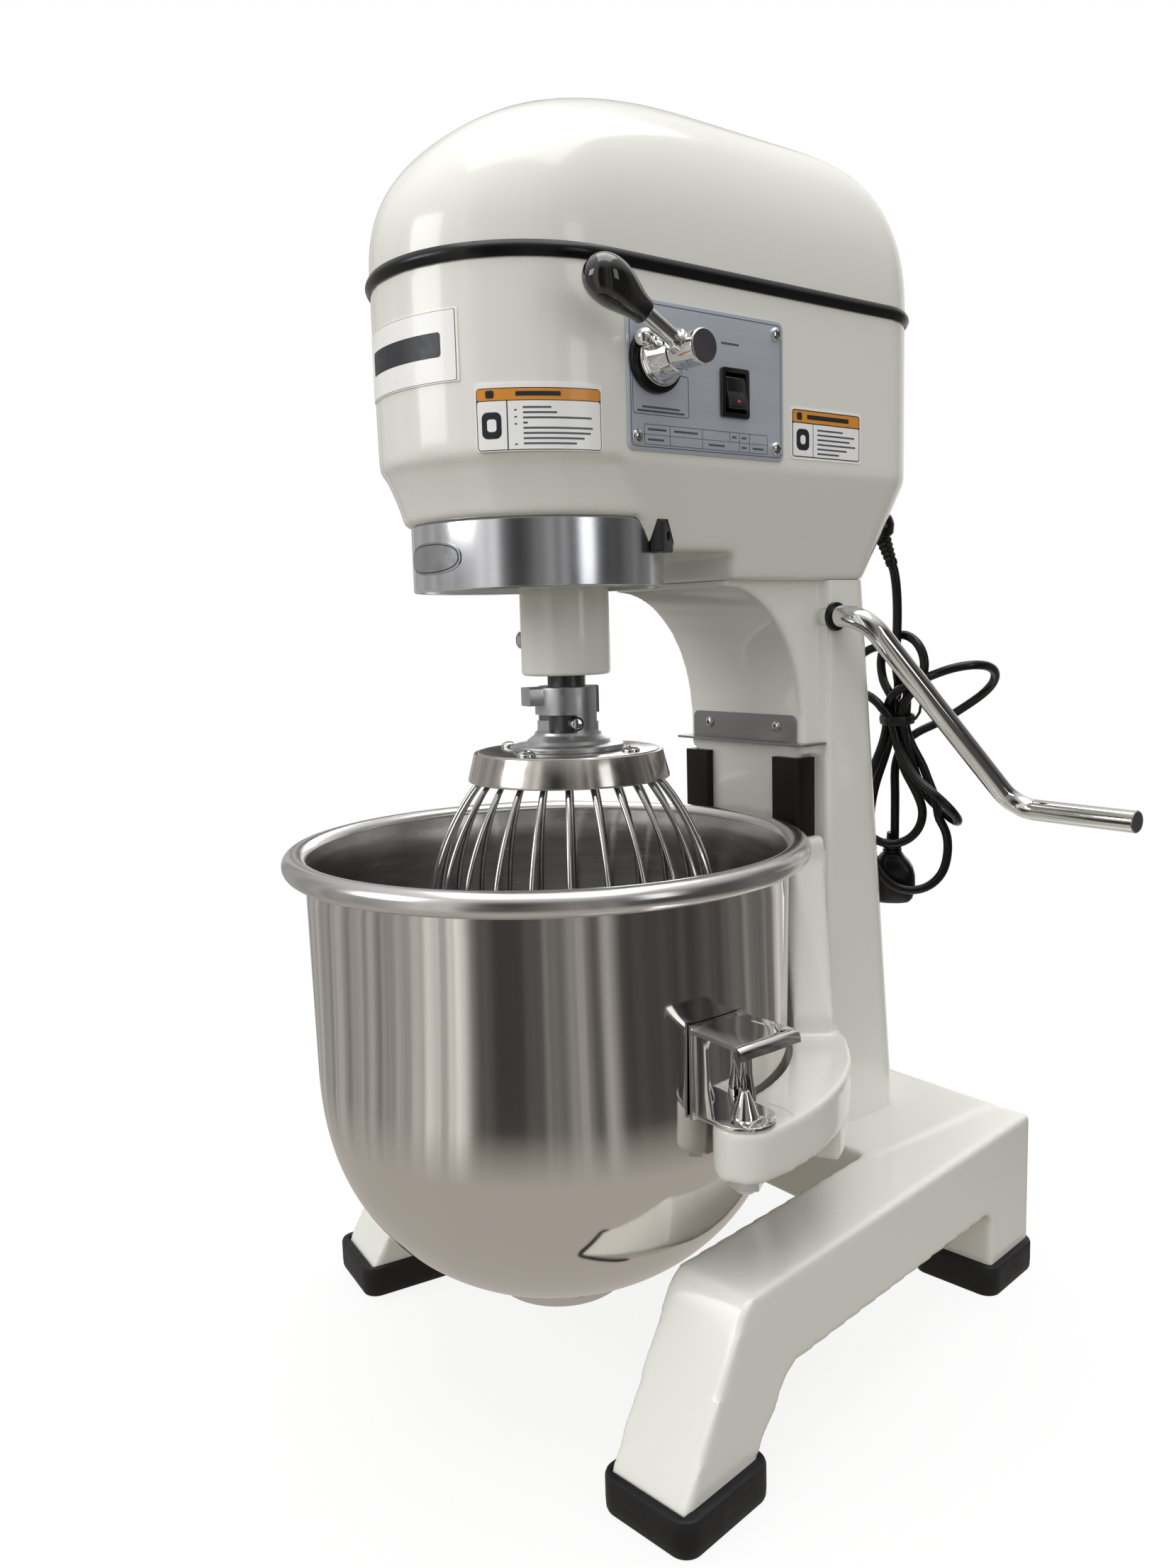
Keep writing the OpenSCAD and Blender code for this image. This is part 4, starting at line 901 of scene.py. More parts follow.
def dome_screw(name, r, kind, shank=2.0, length=5.0, n=40):
    """Domed head about +Z with a socket or a cross in it, and its shank below."""
    rise = r * 0.52
    crown = [(r * math.cos(a), rise * math.sin(a) + 0.5) for a in
             [math.pi / 2 * k / 9 for k in range(10)]]
    ob = lathe(name, [(0, -length), (shank, -length), (shank, 0), (r, 0)] + crown[:-1] +
               [(0, rise + 0.5)], n)
    if kind == "hex":
        tool = cylinder("tool", r * 0.46, rise * 0.15, 9, 6)
        cut(ob, tool)
    else:
        for a in (0, 90):
            slot = moved(box_of("tool", (-r * 0.62, -r * 0.11, rise * 0.35), (r * 0.62, r * 0.11, 9)),
                          turn(a, "Z"))
            cut(ob, slot)
    return ob


screws = []
for i, (y, z) in enumerate([(7.8, 629), (7.8, 701.7), (126.8, 629), (126.8, 701.7)]):
    s = dome_screw("s", 4.4, "cross", 2.0, 7)
    screws.append(moved(s, on_x(FACE, y, z) @ turn(17 + 40 * i, "Z")))
for i, x in enumerate(SHELF_SCREWS_X):
    s = dome_screw("s", 4.0, "hex", 2.4, 1.8)
    screws.append(moved(s, shift(x, SHELF_FACE_Y, SHELF_SCREW_Z) @ turn(90, "X") @ turn(12 + 25 * i, "Z")))
fit(joined("cover_screws", *screws), "dome_screws", mat=CHROME)

# Switch: bezel, bent key and its small lamp
bezel = plate_yz("switch_bezel", SWITCH_Y - 12.5, SWITCH_Y + 12.5, SWITCH_Z - 15.5, SWITCH_Z + 15.5,
                 FACE, 2.0, 2.2, 0.6)
can = plate_yz("can", SWITCH_Y - 10.8, SWITCH_Y + 10.8, SWITCH_Z - 13.8, SWITCH_Z + 13.8, HEAD_W - 22,
               23.7, 1)
fuse(bezel, can)
cut(bezel, plate_yz("well", SWITCH_Y - 8.9, SWITCH_Y + 8.9, SWITCH_Z - 12.3, SWITCH_Z + 12.3, HEAD_W - 8,
                    20, 0.8))
fit(bezel, "switch_housing", mat=BLACK)
key_side = fillet([(-2.5, -6), (2, -10.6), (9.2, -10.2), (6.2, 0.6), (5.4, 9.8), (-0.5, 10.6), (-2.5, 6)],
                  [0.5, 1, 1.2, 6, 1.2, 1, 0.5], 6)
key = prism("rocker_key", key_side, -8.3, 8.3, 0.5)
moved(key, shift(HEAD_W - 2, SWITCH_Y, SWITCH_Z) @ turn(90, "X"))
fit(key, "switch_rocker", mat=BLACK)
lamp = lathe("rocker_lamp", [(0, -1.5), (1.7, -1.5), (1.7, 0.15), (1.2, 0.5), (0, 0.62)], 32)
moved(lamp, shift(HEAD_W + 5.55, SWITCH_Y + 0.5, SWITCH_Z - 6.2) @ turn(90 + 16, "Y"))
extra(lamp, "switch_rocker", LAMP)

# Gear lever
flange = turned("lever_washer", [(9.05, 0), (20, 0), (20, 4), (17, 4.2), (9.05, 4.2)],
                [0, 0.4, 1.4, 0.4, 0.2], 96, 4)
fit(moved(flange, on_x(FACE, LEVER_Y, LEVER_Z)), "lever_flange", mat=GASKET)

hub_profile = fillet([(0, -25.5), (9, -25.5), (9, 4.3), (16.5, 4.3), (16.5, 7.6), (15.2, 7.9), (14.4, 10),
                      (11.2, 22.4), (10.2, 23.5), (10.2, 43.6), (9.6, 44.4), (0, 44.4)],
                     [0, 1, 0.3, 0.8, 0.8, 0.5, 1.5, 1.2, 0.8, 0.5, 0.5, 0], 4)
hub = moved(lathe("lever_boss", hub_profile, 96), on_x(FACE, LEVER_Y, LEVER_Z))
lean = shift(125, LEVER_Y, LEVER_Z) @ turn(90 - LEVER_RISE, "X")
collar = moved(lathe("collar", [(0, 0), (7.4, 0), (7.4, 11.2), (6.6, 12.4), (0, 12.4)], 48), lean)
fuse(hub, collar)
knob_pin = moved(turned("knob_pin", [(0, 0), (4.2, 0), (4.2, 18), (0, 18)], [0, 0, 1, 0], 32, 6),
                 shift(107, LEVER_Y, LEVER_Z) @ turn(59, "X"))
fuse(hub, knob_pin)
ball = lathe("ball", [(5.9 * math.sin(a), -5.9 * math.cos(a)) for a in
                      [math.pi * k / 20 for k in range(21)]], 48, closed=False)
fuse(hub, moved(ball, shift(107, LEVER_Y - 17, LEVER_Z + 9)), angle=30)
fit(hub, "lever_hub", mat=CHROME)
face = moved(cylinder("lever_face", 9.1, 0, 0.2, 64),
             on_x(FACE + 44.3, LEVER_Y, LEVER_Z))
extra(face, "lever_hub", HUBFACE)
rod = turned("lever_stem", [(0, 11.6), (5, 11.6), (5, 46), (0, 46)], [0, 0, 0.6, 0], 48, 6)
fit(moved(rod, lean), "lever_rod", mat=CHROME)
knob_profile = [(0, 36), (6.6, 36), (7.5, 37)]
for k in range(41):
    s = k / 40
    r = 7.6 + 5.6 * math.sin(math.pi / 2 * min(1, s / 0.62)) ** 1.7 if s < 0.62 else \
        13.2 * max(0.0, 1 - ((s - 0.62) / 0.38) ** 2.3) ** (1 / 2.3)
    knob_profile.append((r, 38 + 43.2 * s))
knob_profile[-1] = (0, 81.2)
knob = lathe("lever_grip", knob_profile, 96, angle=45)
cut(knob, cylinder("seat", 5.02, 35, 47, 48))
fit(moved(knob, lean), "lever_knob", mat=BLACK)

# ---------------------------------------------------------------- labels


SHEET_STEP = 2.5


def bent_sheet(name, r, a0, a1, z0, z1, t, centre=(0.0, FRONT_Y), corner=0.0):
    """Thin sheet on a round wall between two angles and two heights."""
    wide = math.radians(a1 - a0) * r
    flat = fillet([(0, z0), (wide, z0), (wide, z1), (0, z1)], corner, 5)
    cols = max(2, int(wide / SHEET_STEP))
    bm = bmesh.new()
    low = [bm.verts.new((x * MM, z * MM, 0)) for x, z in flat]
    bm.faces.new(low)
    for k in range(1, cols):
        x = wide * k / cols * MM
        bmesh.ops.bisect_plane(bm, geom=bm.verts[:] + bm.edges[:] + bm.faces[:], plane_co=(x, 0, 0),
                               plane_no=(1, 0, 0))
    made = bmesh.ops.extrude_face_region(bm, geom=bm.faces[:])
    for v in made["geom"]:
        if isinstance(v, bmesh.types.BMVert):
            v.co.z = t * MM
    for v in bm.verts:
        a = math.radians(a0) + v.co.x / (r * MM)
        q = r * MM + v.co.z
        v.co = (centre[0] * MM + q * math.cos(a), centre[1] * MM + q * math.sin(a), v.co.y)
    bmesh.ops.recalc_face_normals(bm, faces=bm.faces)
    return settle(from_bmesh(name, bm), 40)


WALL_R = HEAD_W + 0.05
sheets = [dress(bent_sheet("notice", WALL_R - 1.2, -51.6, -5, 618.4, 656.6, 1.5, corner=2), PAPER),
          dress(bent_sheet("front_sticker", WALL_R - 1.2, -115, -57, 659.5, 700.5, 1.5, corner=1), PAPER),
          dress(plate_yz("side_label", 142, 213, 624, 658, HEAD_W, 0.35, 2.0), PAPER)]
fit(joined("label_sheets", *sheets), "labels")
inks = []


def printed(a0, a1, z0, z1, mat, lift, corner):
    inks.append(dress(bent_sheet("ink", WALL_R, a0, a1, z0, z1, lift, corner=corner), mat))


for a0, a1, z0, z1, mat, lift, corner in (
        (-114.2, -57.8, 660.1, 699.9, PRINT, 0.38, 1.0), (-113.9, -58.1, 660.4, 699.6, PAPER, 0.46, 1.0),
        (-108.0, -64.0, 674.0, 688.0, INK, 0.54, 2.0), (-51.0, -5.6, 618.9, 654.0, INK, 0.38, 2.0),
        (-50.7, -5.9, 619.4, 646.6, PAPER, 0.46, 1.5), (-50.7, -5.9, 647.1, 653.5, ORANGE, 0.46, 1.0),
        (-40.3, -39.9, 619.4, 646.6, INK, 0.54, 0.0), (-47.6, -44.6, 648.2, 652.6, INK, 0.56, 1.2),
        (-37.0, -21.0, 649.2, 651.8, INK, 0.56, 0.4)):
    printed(a0, a1, z0, z1, mat, lift, corner)
for row, end in enumerate((-24.5, -22.5, -9.5, -33.0, -9.2, -10.0, -12.5, -15.5)):
    z = 643.4 - 2.9 * row
    printed(-34.6, end, z - 1.1, z, PRINT, 0.54, 0.3)
for z in (641.9, 638.0, 634.0, 622.6):
    printed(-37.6, -36.7, z - 0.9, z, PRINT, 0.54, 0.3)
printed(-49.2, -42.2, 625.5, 640.5, INK, 0.54, 3.4)
printed(-47.3, -44.0, 629.5, 636.5, PAPER, 0.62, 1.6)
extra(joined("notice_print", *inks), "labels")
side = []
for y0, y1, z0, z1, t, corner, mat in (
        (143.5, 211.5, 625.5, 656.5, 0.22, 2.0, INK), (144.2, 210.8, 626.2, 647.6, 0.25, 1.2, PAPER),
        (144.2, 210.8, 648.3, 655.8, 0.25, 1.2, ORANGE), (148, 153, 649.6, 654.6, 0.29, 1.4, INK),
        (158, 200, 650.6, 653.6, 0.29, 0.5, INK), (163.6, 164.1, 626.2, 647.6, 0.29, 0.0, INK),
        (147.5, 160, 630, 644, 0.29, 4, INK), (151.3, 156.3, 634, 640, 0.32, 2, PAPER)):
    side.append(dress(plate_yz("field", y0, y1, z0, z1, HEAD_W + 0.2, t, corner), mat))
for row, long in enumerate((26, 38, 33, 39, 30, 22)):
    z = 644.6 - 3.1 * row
    side.append(dress(plate_yz("bar", 168, 168 + long, z - 1.2, z, HEAD_W + 0.2, 0.29, 0.3), PRINT))
extra(joined("side_print", *side), "labels")

# ---------------------------------------------------------------- planetary head

ORBIT_A = math.radians(124.7)
ORBIT_R, TUBE_R = 50, 31.5
AGIT = (ORBIT_R * math.cos(ORBIT_A), ORBIT_R * math.sin(ORBIT_A))
plug_place = shift(*AGIT, 508) @ turn(218, "Z") @ turn(90, "Y")
band_profile = fillet([(77.1, 541), (82.2, 541), (83, 542), (83, 582), (82.2, 583), (77.1, 583)],
                      [0.3, 0.4, 0.6, 0.6, 0.4, 0.3], 3)
fit(lathe("ring_sleeve", band_profile, 256), "ring_band", mat=RING)

badge = []
BADGE_R, BADGE_A, BADGE_ARC, BADGE_Z = RING_R + 0.05, math.radians(-89.5), math.radians(39), 561


def badge_ring(outline, scale, lift):
    return [((BADGE_R + lift) * math.cos(BADGE_A + x * scale / BADGE_R),
             (BADGE_R + lift) * math.sin(BADGE_A + x * scale / BADGE_R), BADGE_Z + z * scale)
            for x, z in outline]


for name, grow, t, mat in (("plate", 0, 0.8, BADGE), ("border", -1.2, 0.95, INK),
                           ("field", -1.9, 1.05, BADGE)):
    wide, tall = BADGE_ARC * BADGE_R / 2 + grow, 10 + grow
    outline = [(wide * bulge(math.cos(TAU * k / 64), 0.8), tall * bulge(math.sin(TAU * k / 64), 0.8))
               for k in range(64)]
    layers = [badge_ring(outline, scale, 0) for scale in (0.02, 0.25, 0.5, 0.75, 1)]
    layers += [badge_ring(outline, scale, t) for scale in (1, 0.97, 0.75, 0.5, 0.25, 0.02)]
    badge.append(dress(loft(name, layers), mat))
fit(joined("ring_plate", *badge), "ring_badge")

block = box_of("latch_block", (0, 0, 0), (9, 18, 20), 1.2)
cut(block, moved(cylinder("t", 3, 0, 10, 32), shift(6, 9, 10) @ turn(90, "Y")))
fit(moved(block, turn(28, "Z") @ shift(RING_R + 0.3, -9, RING_BOTTOM + 21)), "ring_block", mat=BLOCK)

disc = turned("carrier_disc", [(0, 543), (73.8, 543), (75, 544.2), (75, 552), (23, 552), (23, 579),
                               (0, 579)], [0, 0.8, 0.8, 1, 2, 1, 0], 192, 4)
tube = turned("carrier_tube", [(0, 483), (TUBE_R, 483), (TUBE_R, 545), (0, 545)], [0, 2.6, 0, 0], 128, 6,
              AGIT)
weight = turned("weight", [(0, 550), (16, 550), (16, 572), (0, 572)], [0, 0, 1.5, 0], 64, 4, (38, -30))
carrier = fuse(disc, tube, weight, angle=45)
cut(carrier, cylinder("a", 15, 546, 590, 64),
    cylinder("b", 26, 486, 541, 96, AGIT),
    cylinder("c", 15.5, 470, 600, 64, AGIT),
    moved(cylinder("d", 7, 0, 6, 48),
          plug_place @ shift(0, 0, TUBE_R - 0.6)), angle=45)
fit(carrier, "planet_carrier", mat=WHITE)

plug_head = turned("plug_hex", [(0, 0), (6.0, 0), (6.0, 3.2), (4.9, 4.5), (0, 4.5)], [0, 0, 0.3, 0.5, 0],
                   6, 2)
cut(plug_head, cylinder("t", 1.8, 2.4, 9, 24))
fit(moved(plug_head, plug_place @ shift(0, 0, TUBE_R - 0.55)),
    "grease_plug", mat=GEAR)

seal = turned("shaft_seal", [(13.6, 483.4), (15.3, 483.4), (15.3, 486), (13.6, 486)], 0.3, 64, 2, AGIT)
extra(seal, "agitator_bearings", GASKET)
PIN_TURN, PIN_Z = -20, 449
pin_place = shift(*AGIT, PIN_Z) @ turn(PIN_TURN, "Z") @ turn(90, "Y")
shaft = turned("agitator_spindle", [(0, 436), (11.5, 436), (13.5, 438), (13.5, 557), (9.98, 557),
                                    (9.98, 577), (0, 577)], [0, 0.4, 0.4, 0.3, 0, 0.6, 0], 96, 3, AGIT)
cut(shaft, moved(cylinder("t", 4, -30, 30, 32),
                 pin_place))
fit(shaft, "agitator_shaft", mat=DARK)
pin = turned("bayonet_pin", [(0, -24), (3.95, -24), (3.95, 24), (0, 24)], [0, 0.8, 0.8, 0], 40, 3)
fit(moved(pin, pin_place), "drive_pin", mat=CHROME)

# ---------------------------------------------------------------- whisk

CAP_LOW, CAP_TOP = 409.2, 429.8
SCREW_ANGLES, SCREW_AT_R = (20, 110, 200, 290), 52
hub_body = turned("whisk_socket", [(0, 429.8), (40, 429.8), (40, 433.8), (31, 433.8), (29, 437),
                                   (24, 440.6), (23, 444), (23, 475), (0, 475)],
                  [0, 0.8, 1.2, 2, 4, 2, 3, 1.4, 0], 128, 5)
hook = box_of("hook", (0, -8, 462), (34, 8, 475), 1.6)
cut(hook, lathe("t", [(33, 450), (60, 450), (60, 490), (33, 490)], 96))
fuse(hub_body, moved(hook, turn(PIN_TURN - 82, "Z")))
tools = [lathe("bore", [(0, 433.8), (13.8, 433.8), (13.8, 473.6), (15.2, 490), (0, 490)], 96)]
for s in (0, 180):
    spin = turn(PIN_TURN + s, "Z")
    tools.append(moved(cylinder("t", 5, 0, 30, 40), spin @ shift(0, 0, PIN_Z) @ turn(90, "Y")))
    tools.append(moved(ring_sector("t", 13, 30, 442.6, 455.4, -125, 0), spin))
    tools.append(moved(box_of("t", (0, -6, 450), (30, 6, 490)), spin @ turn(-117, "Z")))
cut(hub_body, *tools, angle=40)
fit(moved(hub_body, shift(*AGIT, 0)), "whisk_hub", mat=CASTMETAL)

cap = turned("whisk_dish", [(0, 424.8), (0, 429.8), (64.6, 429.8), (65.2, 428.7), (66.2, 428.7),
                            (67.6, 429.2), (72.3, 410.6), (72.3, 409.2), (69.8, 409.2), (66.2, 423.8),
                            (20, 424.8)], [0, 0, 0.6, 0.3, 0.3, 0.6, 1.2, 0.5, 0.5, 1, 0], 192, 4)
for a in SCREW_ANGLES:
    cut(cap, moved(cylinder("t", 3.05, -12, 12, 24),
                   turn(a, "Z") @ shift(SCREW_AT_R, 0, CAP_TOP)))
fit(moved(cap, shift(*AGIT, 0)), "whisk_cap", mat=CAP)
cap_screws = []
for i, a in enumerate(SCREW_ANGLES):
    cap_screws.append(moved(dome_screw("s", 6.4, "cross", 3.0, 4.5), shift(*AGIT, CAP_TOP) @ turn(a, "Z")
                            @ shift(SCREW_AT_R, 0, 0) @ turn(35 * i + 10, "Z")))
fit(joined("cap_screws", *cap_screws), "whisk_screws", mat=CHROME)

WIRES, WIRE_D, WHISK_R, BULGE_Z = 24, 3.7, 104.0, 300.0
UPPER_R, LOWER_R, LOWER_A, TIP_R, BOSS_R = 168.5, 150.0, 55.0, 50.0, 18.0
tip = (WHISK_R - LOWER_R + (LOWER_R - TIP_R) * math.cos(math.radians(LOWER_A)),
       BULGE_Z - (LOWER_R - TIP_R) * math.sin(math.radians(LOWER_A)))
upper_a = math.degrees(math.asin((CAP_LOW + 9 - BULGE_Z) / UPPER_R))
tip_a = -math.degrees(math.acos((BOSS_R - 2 - tip[0]) / TIP_R))


def wire_line():
    """Half a wire from the cap down to the boss: three arcs that run into each other."""
    out = []
    for x, z in (arc(UPPER_R, upper_a, 0, 34, (WHISK_R - UPPER_R, BULGE_Z))
                 + arc(LOWER_R, 0, -LOWER_A, 36, (WHISK_R - LOWER_R, BULGE_Z))
                 + arc(TIP_R, -LOWER_A, tip_a, 14, tip)):
        if not out or math.dist(out[-1], (x, 0.0, z)) > 0.01:
            out.append((x, 0.0, z))
    return out


wires = []
for k in range(WIRES):
    w = swept("wire", wire_line(), WIRE_D / 2, 14)
    wires.append(moved(w, turn((k + 0.5) * 360 / WIRES, "Z")))
boss_z = tip[1] - TIP_R
boss = turned("boss", [(0, boss_z - 3.2), (14, boss_z - 3.2), (18, boss_z - 1), (18, boss_z + 5),
                       (14, boss_z + 6.2), (0, boss_z + 6.2)], [0, 2, 2, 1.5, 1, 0], 96, 4)
fit(moved(joined("whisk_cage", *wires, boss), shift(*AGIT, 0)), "whisk_wires", mat=WIRE)

# ---------------------------------------------------------------- bowl

BOWL_R, RIM_R, RIM_Z, WALL = 161.5, 178.0, 366.5, 2.0
BOWL_Z, CURVE_H, TAPER, RIM_TUBE = 65.2, 171.5, 0.014, 8.0


def bowl_r(z):
    if z >= BOWL_Z + CURVE_H:
        return BOWL_R + TAPER * (z - BOWL_Z - CURVE_H)
    return BOWL_R * math.sqrt(max(0.0, 1 - (1 - (z - BOWL_Z) / CURVE_H) ** 2.49))


heights = [BOWL_Z + CURVE_H * (1 - math.cos(math.radians(90 * k / 48))) for k in range(49)]
heights += [BOWL_Z + CURVE_H + (RIM_Z - 9 - BOWL_Z - CURVE_H) * k / 10 for k in range(1, 11)]
outside = [(bowl_r(z), z) for z in heights]
# The rolled rim is one arc of the tube, with a short neck on either side
top_r = bowl_r(RIM_Z - 9)
rim = [(top_r + 0.5, RIM_Z - 7.6)] + arc(RIM_TUBE, -152, 166, 40, (RIM_R - RIM_TUBE, RIM_Z))
rim += [(RIM_R - RIM_TUBE - 7.2, RIM_Z + 1.5), (top_r - WALL + 0.7, RIM_Z - 5)]
inside = [(bowl_r(z) - WALL * min(1.0, 0.35 + k / 6), max(z, BOWL_Z + WALL + 0.1 * k))
          for k, z in enumerate(heights)]
inside[0] = (0, BOWL_Z + WALL)
shell = lathe("bowl_vessel", outside + rim + inside[::-1], 256, angle=60)
dress(shell, BOWL_OUT)
shell.data.materials.append(BOWL_IN)
for f in shell.data.polygons:
    c, nrm = f.center, f.normal
    inward = nrm.x * c.x + nrm.y * c.y < 0 or (nrm.z > 0.7 and math.hypot(c.x, c.y) < 0.15)
    if inward or c.z > (RIM_Z - 7.5) * MM:
        f.material_index = 1
fit(shell, "bowl_shell")
foot_ring = turned("bowl_ring", [(43.8, 57.2), (46.5, 57.2), (46.5, 71.2), (43.8, 71.2)], 0.6, 128, 3)
fit(foot_ring, "bowl_foot", mat=BOWL_OUT)

# Brackets: a formed strap with a flared grip above and a round tab over the pin
PIN_X, PIN_Y, ARM_Z0, ARM_Z1 = 184.0, 4.0, 197.0, 228.0
TAB_Z = ARM_Z1 + 0.3
PIN_R = math.hypot(PIN_X, PIN_Y)


def sheet_of(name, top, bottom, angle=40):
    """Closed sheet between two grids of points (rows of equal length)."""
    rows, cols = len(top), len(top[0])
    verts = [p for r in top for p in r] + [p for r in bottom for p in r]
    off = rows * cols
    faces = []
    for i in range(rows - 1):
        for j in range(cols - 1):
            a, b, c, d = i * cols + j, i * cols + j + 1, (i + 1) * cols + j + 1, (i + 1) * cols + j
            faces += [(a, b, c, d), (off + d, off + c, off + b, off + a)]
    around = [i * cols for i in range(rows)] + [(rows - 1) * cols + j for j in range(1, cols)] + \
        [i * cols + cols - 1 for i in range(rows - 2, -1, -1)] + list(range(cols - 2, 0, -1))
    for k, a in enumerate(around):
        b = around[(k + 1) % len(around)]
        faces.append((a, b, off + b, off + a))
    return solid(name, verts, faces, angle)


def bracket(hand):
    grip_rows, low_rows = [], []
    r_in, r_out, z_top = 163.2, 205.4, TAB_Z + 56.5
    flat_len = r_out - 4 - r_in
    for i in range(25):
        s = i / 24
        run = s * 48.5
        if run < flat_len:
            r, z, tilt = r_in + run, z_top - 1.2 * (run / flat_len) ** 2, 0.0
        else:
            a = min(1.45, (run - flat_len) / 4.4)
            r, z, tilt = r_in + flat_len + 3.9 * math.sin(a), z_top - 1.2 - 3.9 * (1 - math.cos(a)) - \
                max(0.0, run - flat_len - 6.4), a
        half = 22.5 + 2.5 * s ** 1.5
        row, low = [], []
        for j in range(25):
            u = -1 + j / 12
            y = half * u
            dip = -1.8 * u ** 4 * (1 - 0.5 * s)
            bow = (1 - u * u) * 3.5 * s
            rr = r - (1 - s) * (r_in - math.sqrt(max(0, r_in ** 2 - y * y))) + bow * 0.6
            row.append((rr, y, z + dip))
            low.append((rr - 2.6 * math.sin(tilt), y * 0.985, z + dip - 2.6 * math.cos(tilt)))
        grip_rows.append(row)
        low_rows.append(low)
    grip = sheet_of("grip", grip_rows, low_rows, 50)
    reach = math.degrees(22.5 / 163)
    plate = bent_sheet("plate", 162.9, -reach, reach, TAB_Z, TAB_Z + 57.5, 2.4, (0.0, 0.0))
    outline = [(r_in + 1, -19)] + arc(19, -90, 90, 30, (PIN_R, 0)) + [(r_in + 1, 19)]
    tab = prism("tab", outline, TAB_Z, TAB_Z + 3, 0.5)
    pieces = [plate, tab]
    for y in (-19, 16.5):
        web = [(r_in, TAB_Z + 1), (PIN_R - 7.5, TAB_Z + 1), (PIN_R - 9, TAB_Z + 8),
               (r_in + 9.5, TAB_Z + 20), (r_in + 8.5, TAB_Z + 45), (r_in + 13, TAB_Z + 55.5),
               (r_in, TAB_Z + 55.5)]
        web = fillet(web, [0, 2, 3, 8, 8, 0, 0], 6)
        ob = prism("web", [(r, z) for r, z in web], 0, 2.5, 0.4)
        moved(ob, shift(0, y + 2.5, 0) @ turn(90, "X"))
        pieces.append(ob)
    ob = fuse(grip, *pieces, angle=42)
    cut(ob, cylinder("hole", 8.05, TAB_Z - 1, TAB_Z + 4, 48, (PIN_R, 0)), angle=42)
    moved(ob, turn(math.degrees(math.atan2(PIN_Y, PIN_X)), "Z"))
    return moved(ob, FLIP) if hand < 0 else ob


fit(joined("bowl_straps", bracket(1), bracket(-1)), "bowl_brackets", mat=CHROME)

locators = []
for s in (-1, 1):
    at = (s * PIN_X, PIN_Y)
    p = turned("p", [(0, ARM_Z0 - 12), (5.2, ARM_Z0 - 12), (6, ARM_Z0 - 11), (6, ARM_Z1), (8, ARM_Z1),
                     (8, ARM_Z1 + 4), (2.5, ARM_Z1 + 19), (0, ARM_Z1 + 19)],
               [0, 0.3, 0.3, 0, 0, 1.5, 1.6, 0], 64, 4, at)
    nut = turned("n", [(0, ARM_Z0 - 9), (10.2, ARM_Z0 - 9), (11, ARM_Z0 - 8.2), (11, ARM_Z0 - 0.9),
                       (10.4, ARM_Z0 - 0.2), (0, ARM_Z0 - 0.2)], 0, 6, 2, at)
    locators.append(fuse(p, nut, angle=35))
fit(joined("locating_pins", *locators), "bowl_pins", mat=CHROME)

# ---------------------------------------------------------------- lift

ARM_IN, ARM_OUT, SADDLE_Z = 165.5, 203.0, (150.0, 356.0)
REAR_BLOCK_Y, SLIDE_W, RECESS_W, COLUMN_Y = 207.0, 61.0, 55.0, 189.5


def mirrored(ob):
    return moved(placed(ob.name + "_m", ob.data.copy()), FLIP)


yoke_parts = [box_of("saddle", (-69, 171.5, SADDLE_Z[0]), (69, 207.5, SADDLE_Z[1] + 1)),
              ring_sector("arms", ARM_IN - 3, ARM_OUT + 0.6, ARM_Z0 - 0.4, ARM_Z1 + 0.4, 0, 180),
              ring_sector("under", ARM_IN - 3, ARM_OUT - 1.5, ARM_Z0 - 23, ARM_Z0 + 3, 27, 153)]
CHEEK_A = math.radians(52)
cheek_low = [(r * math.cos(CHEEK_A) - t * math.sin(CHEEK_A),
              r * math.sin(CHEEK_A) + t * math.cos(CHEEK_A), z)
             for r in (ARM_IN + 2, ARM_IN + 30) for t in (-1, 17) for z in (222, 241)]
cheek_top = [(x, y, z) for x in (53, 68.5) for y in (172, 203) for z in (284, 341)]
for one in (cylinder("boss", 19, ARM_Z0 - 0.4, ARM_Z1 + 0.4, 96, (PIN_X, PIN_Y)),
            hull("cheek", cheek_top + cheek_low)):
    yoke_parts += [one, mirrored(one)]
yoke = cast("yoke_shell", yoke_parts, 2.4, 9)
yoke_tools = [box_of("relief", (-80, 202.3, 346.5), (80, 212, 400)),
              box_of("room", (-61.3, 182.7, 100), (61.3, 265, 400)),
              box_of("back", (-260, 206.7, 100), (260, 300, 400)),
              cylinder("clear", ARM_IN - 0.5, 100, 400, 256)]
for s in (-1, 1):
    yoke_tools.append(cylinder("t", 6.05, 150, 250, 48, (s * PIN_X, PIN_Y)))
    yoke_tools.append(cylinder("t", 30, ARM_Z1, 250, 64, (s * PIN_X, PIN_Y)))
cut(yoke, *yoke_tools, angle=45)
fit(yoke, "yoke_casting", mat=WHITE)

# ---------------------------------------------------------------- crank

SHAFT_Y, SHAFT_Z, CRANK_R = 212.0, 518.6, 8.0
CRANK_TILT = -52.7
CORNERS, CRANK_START, CRANK_END, BEND_R = ((99.0, 0.0), (150.0, 183.0)), -75.0, 245.0, 24.0


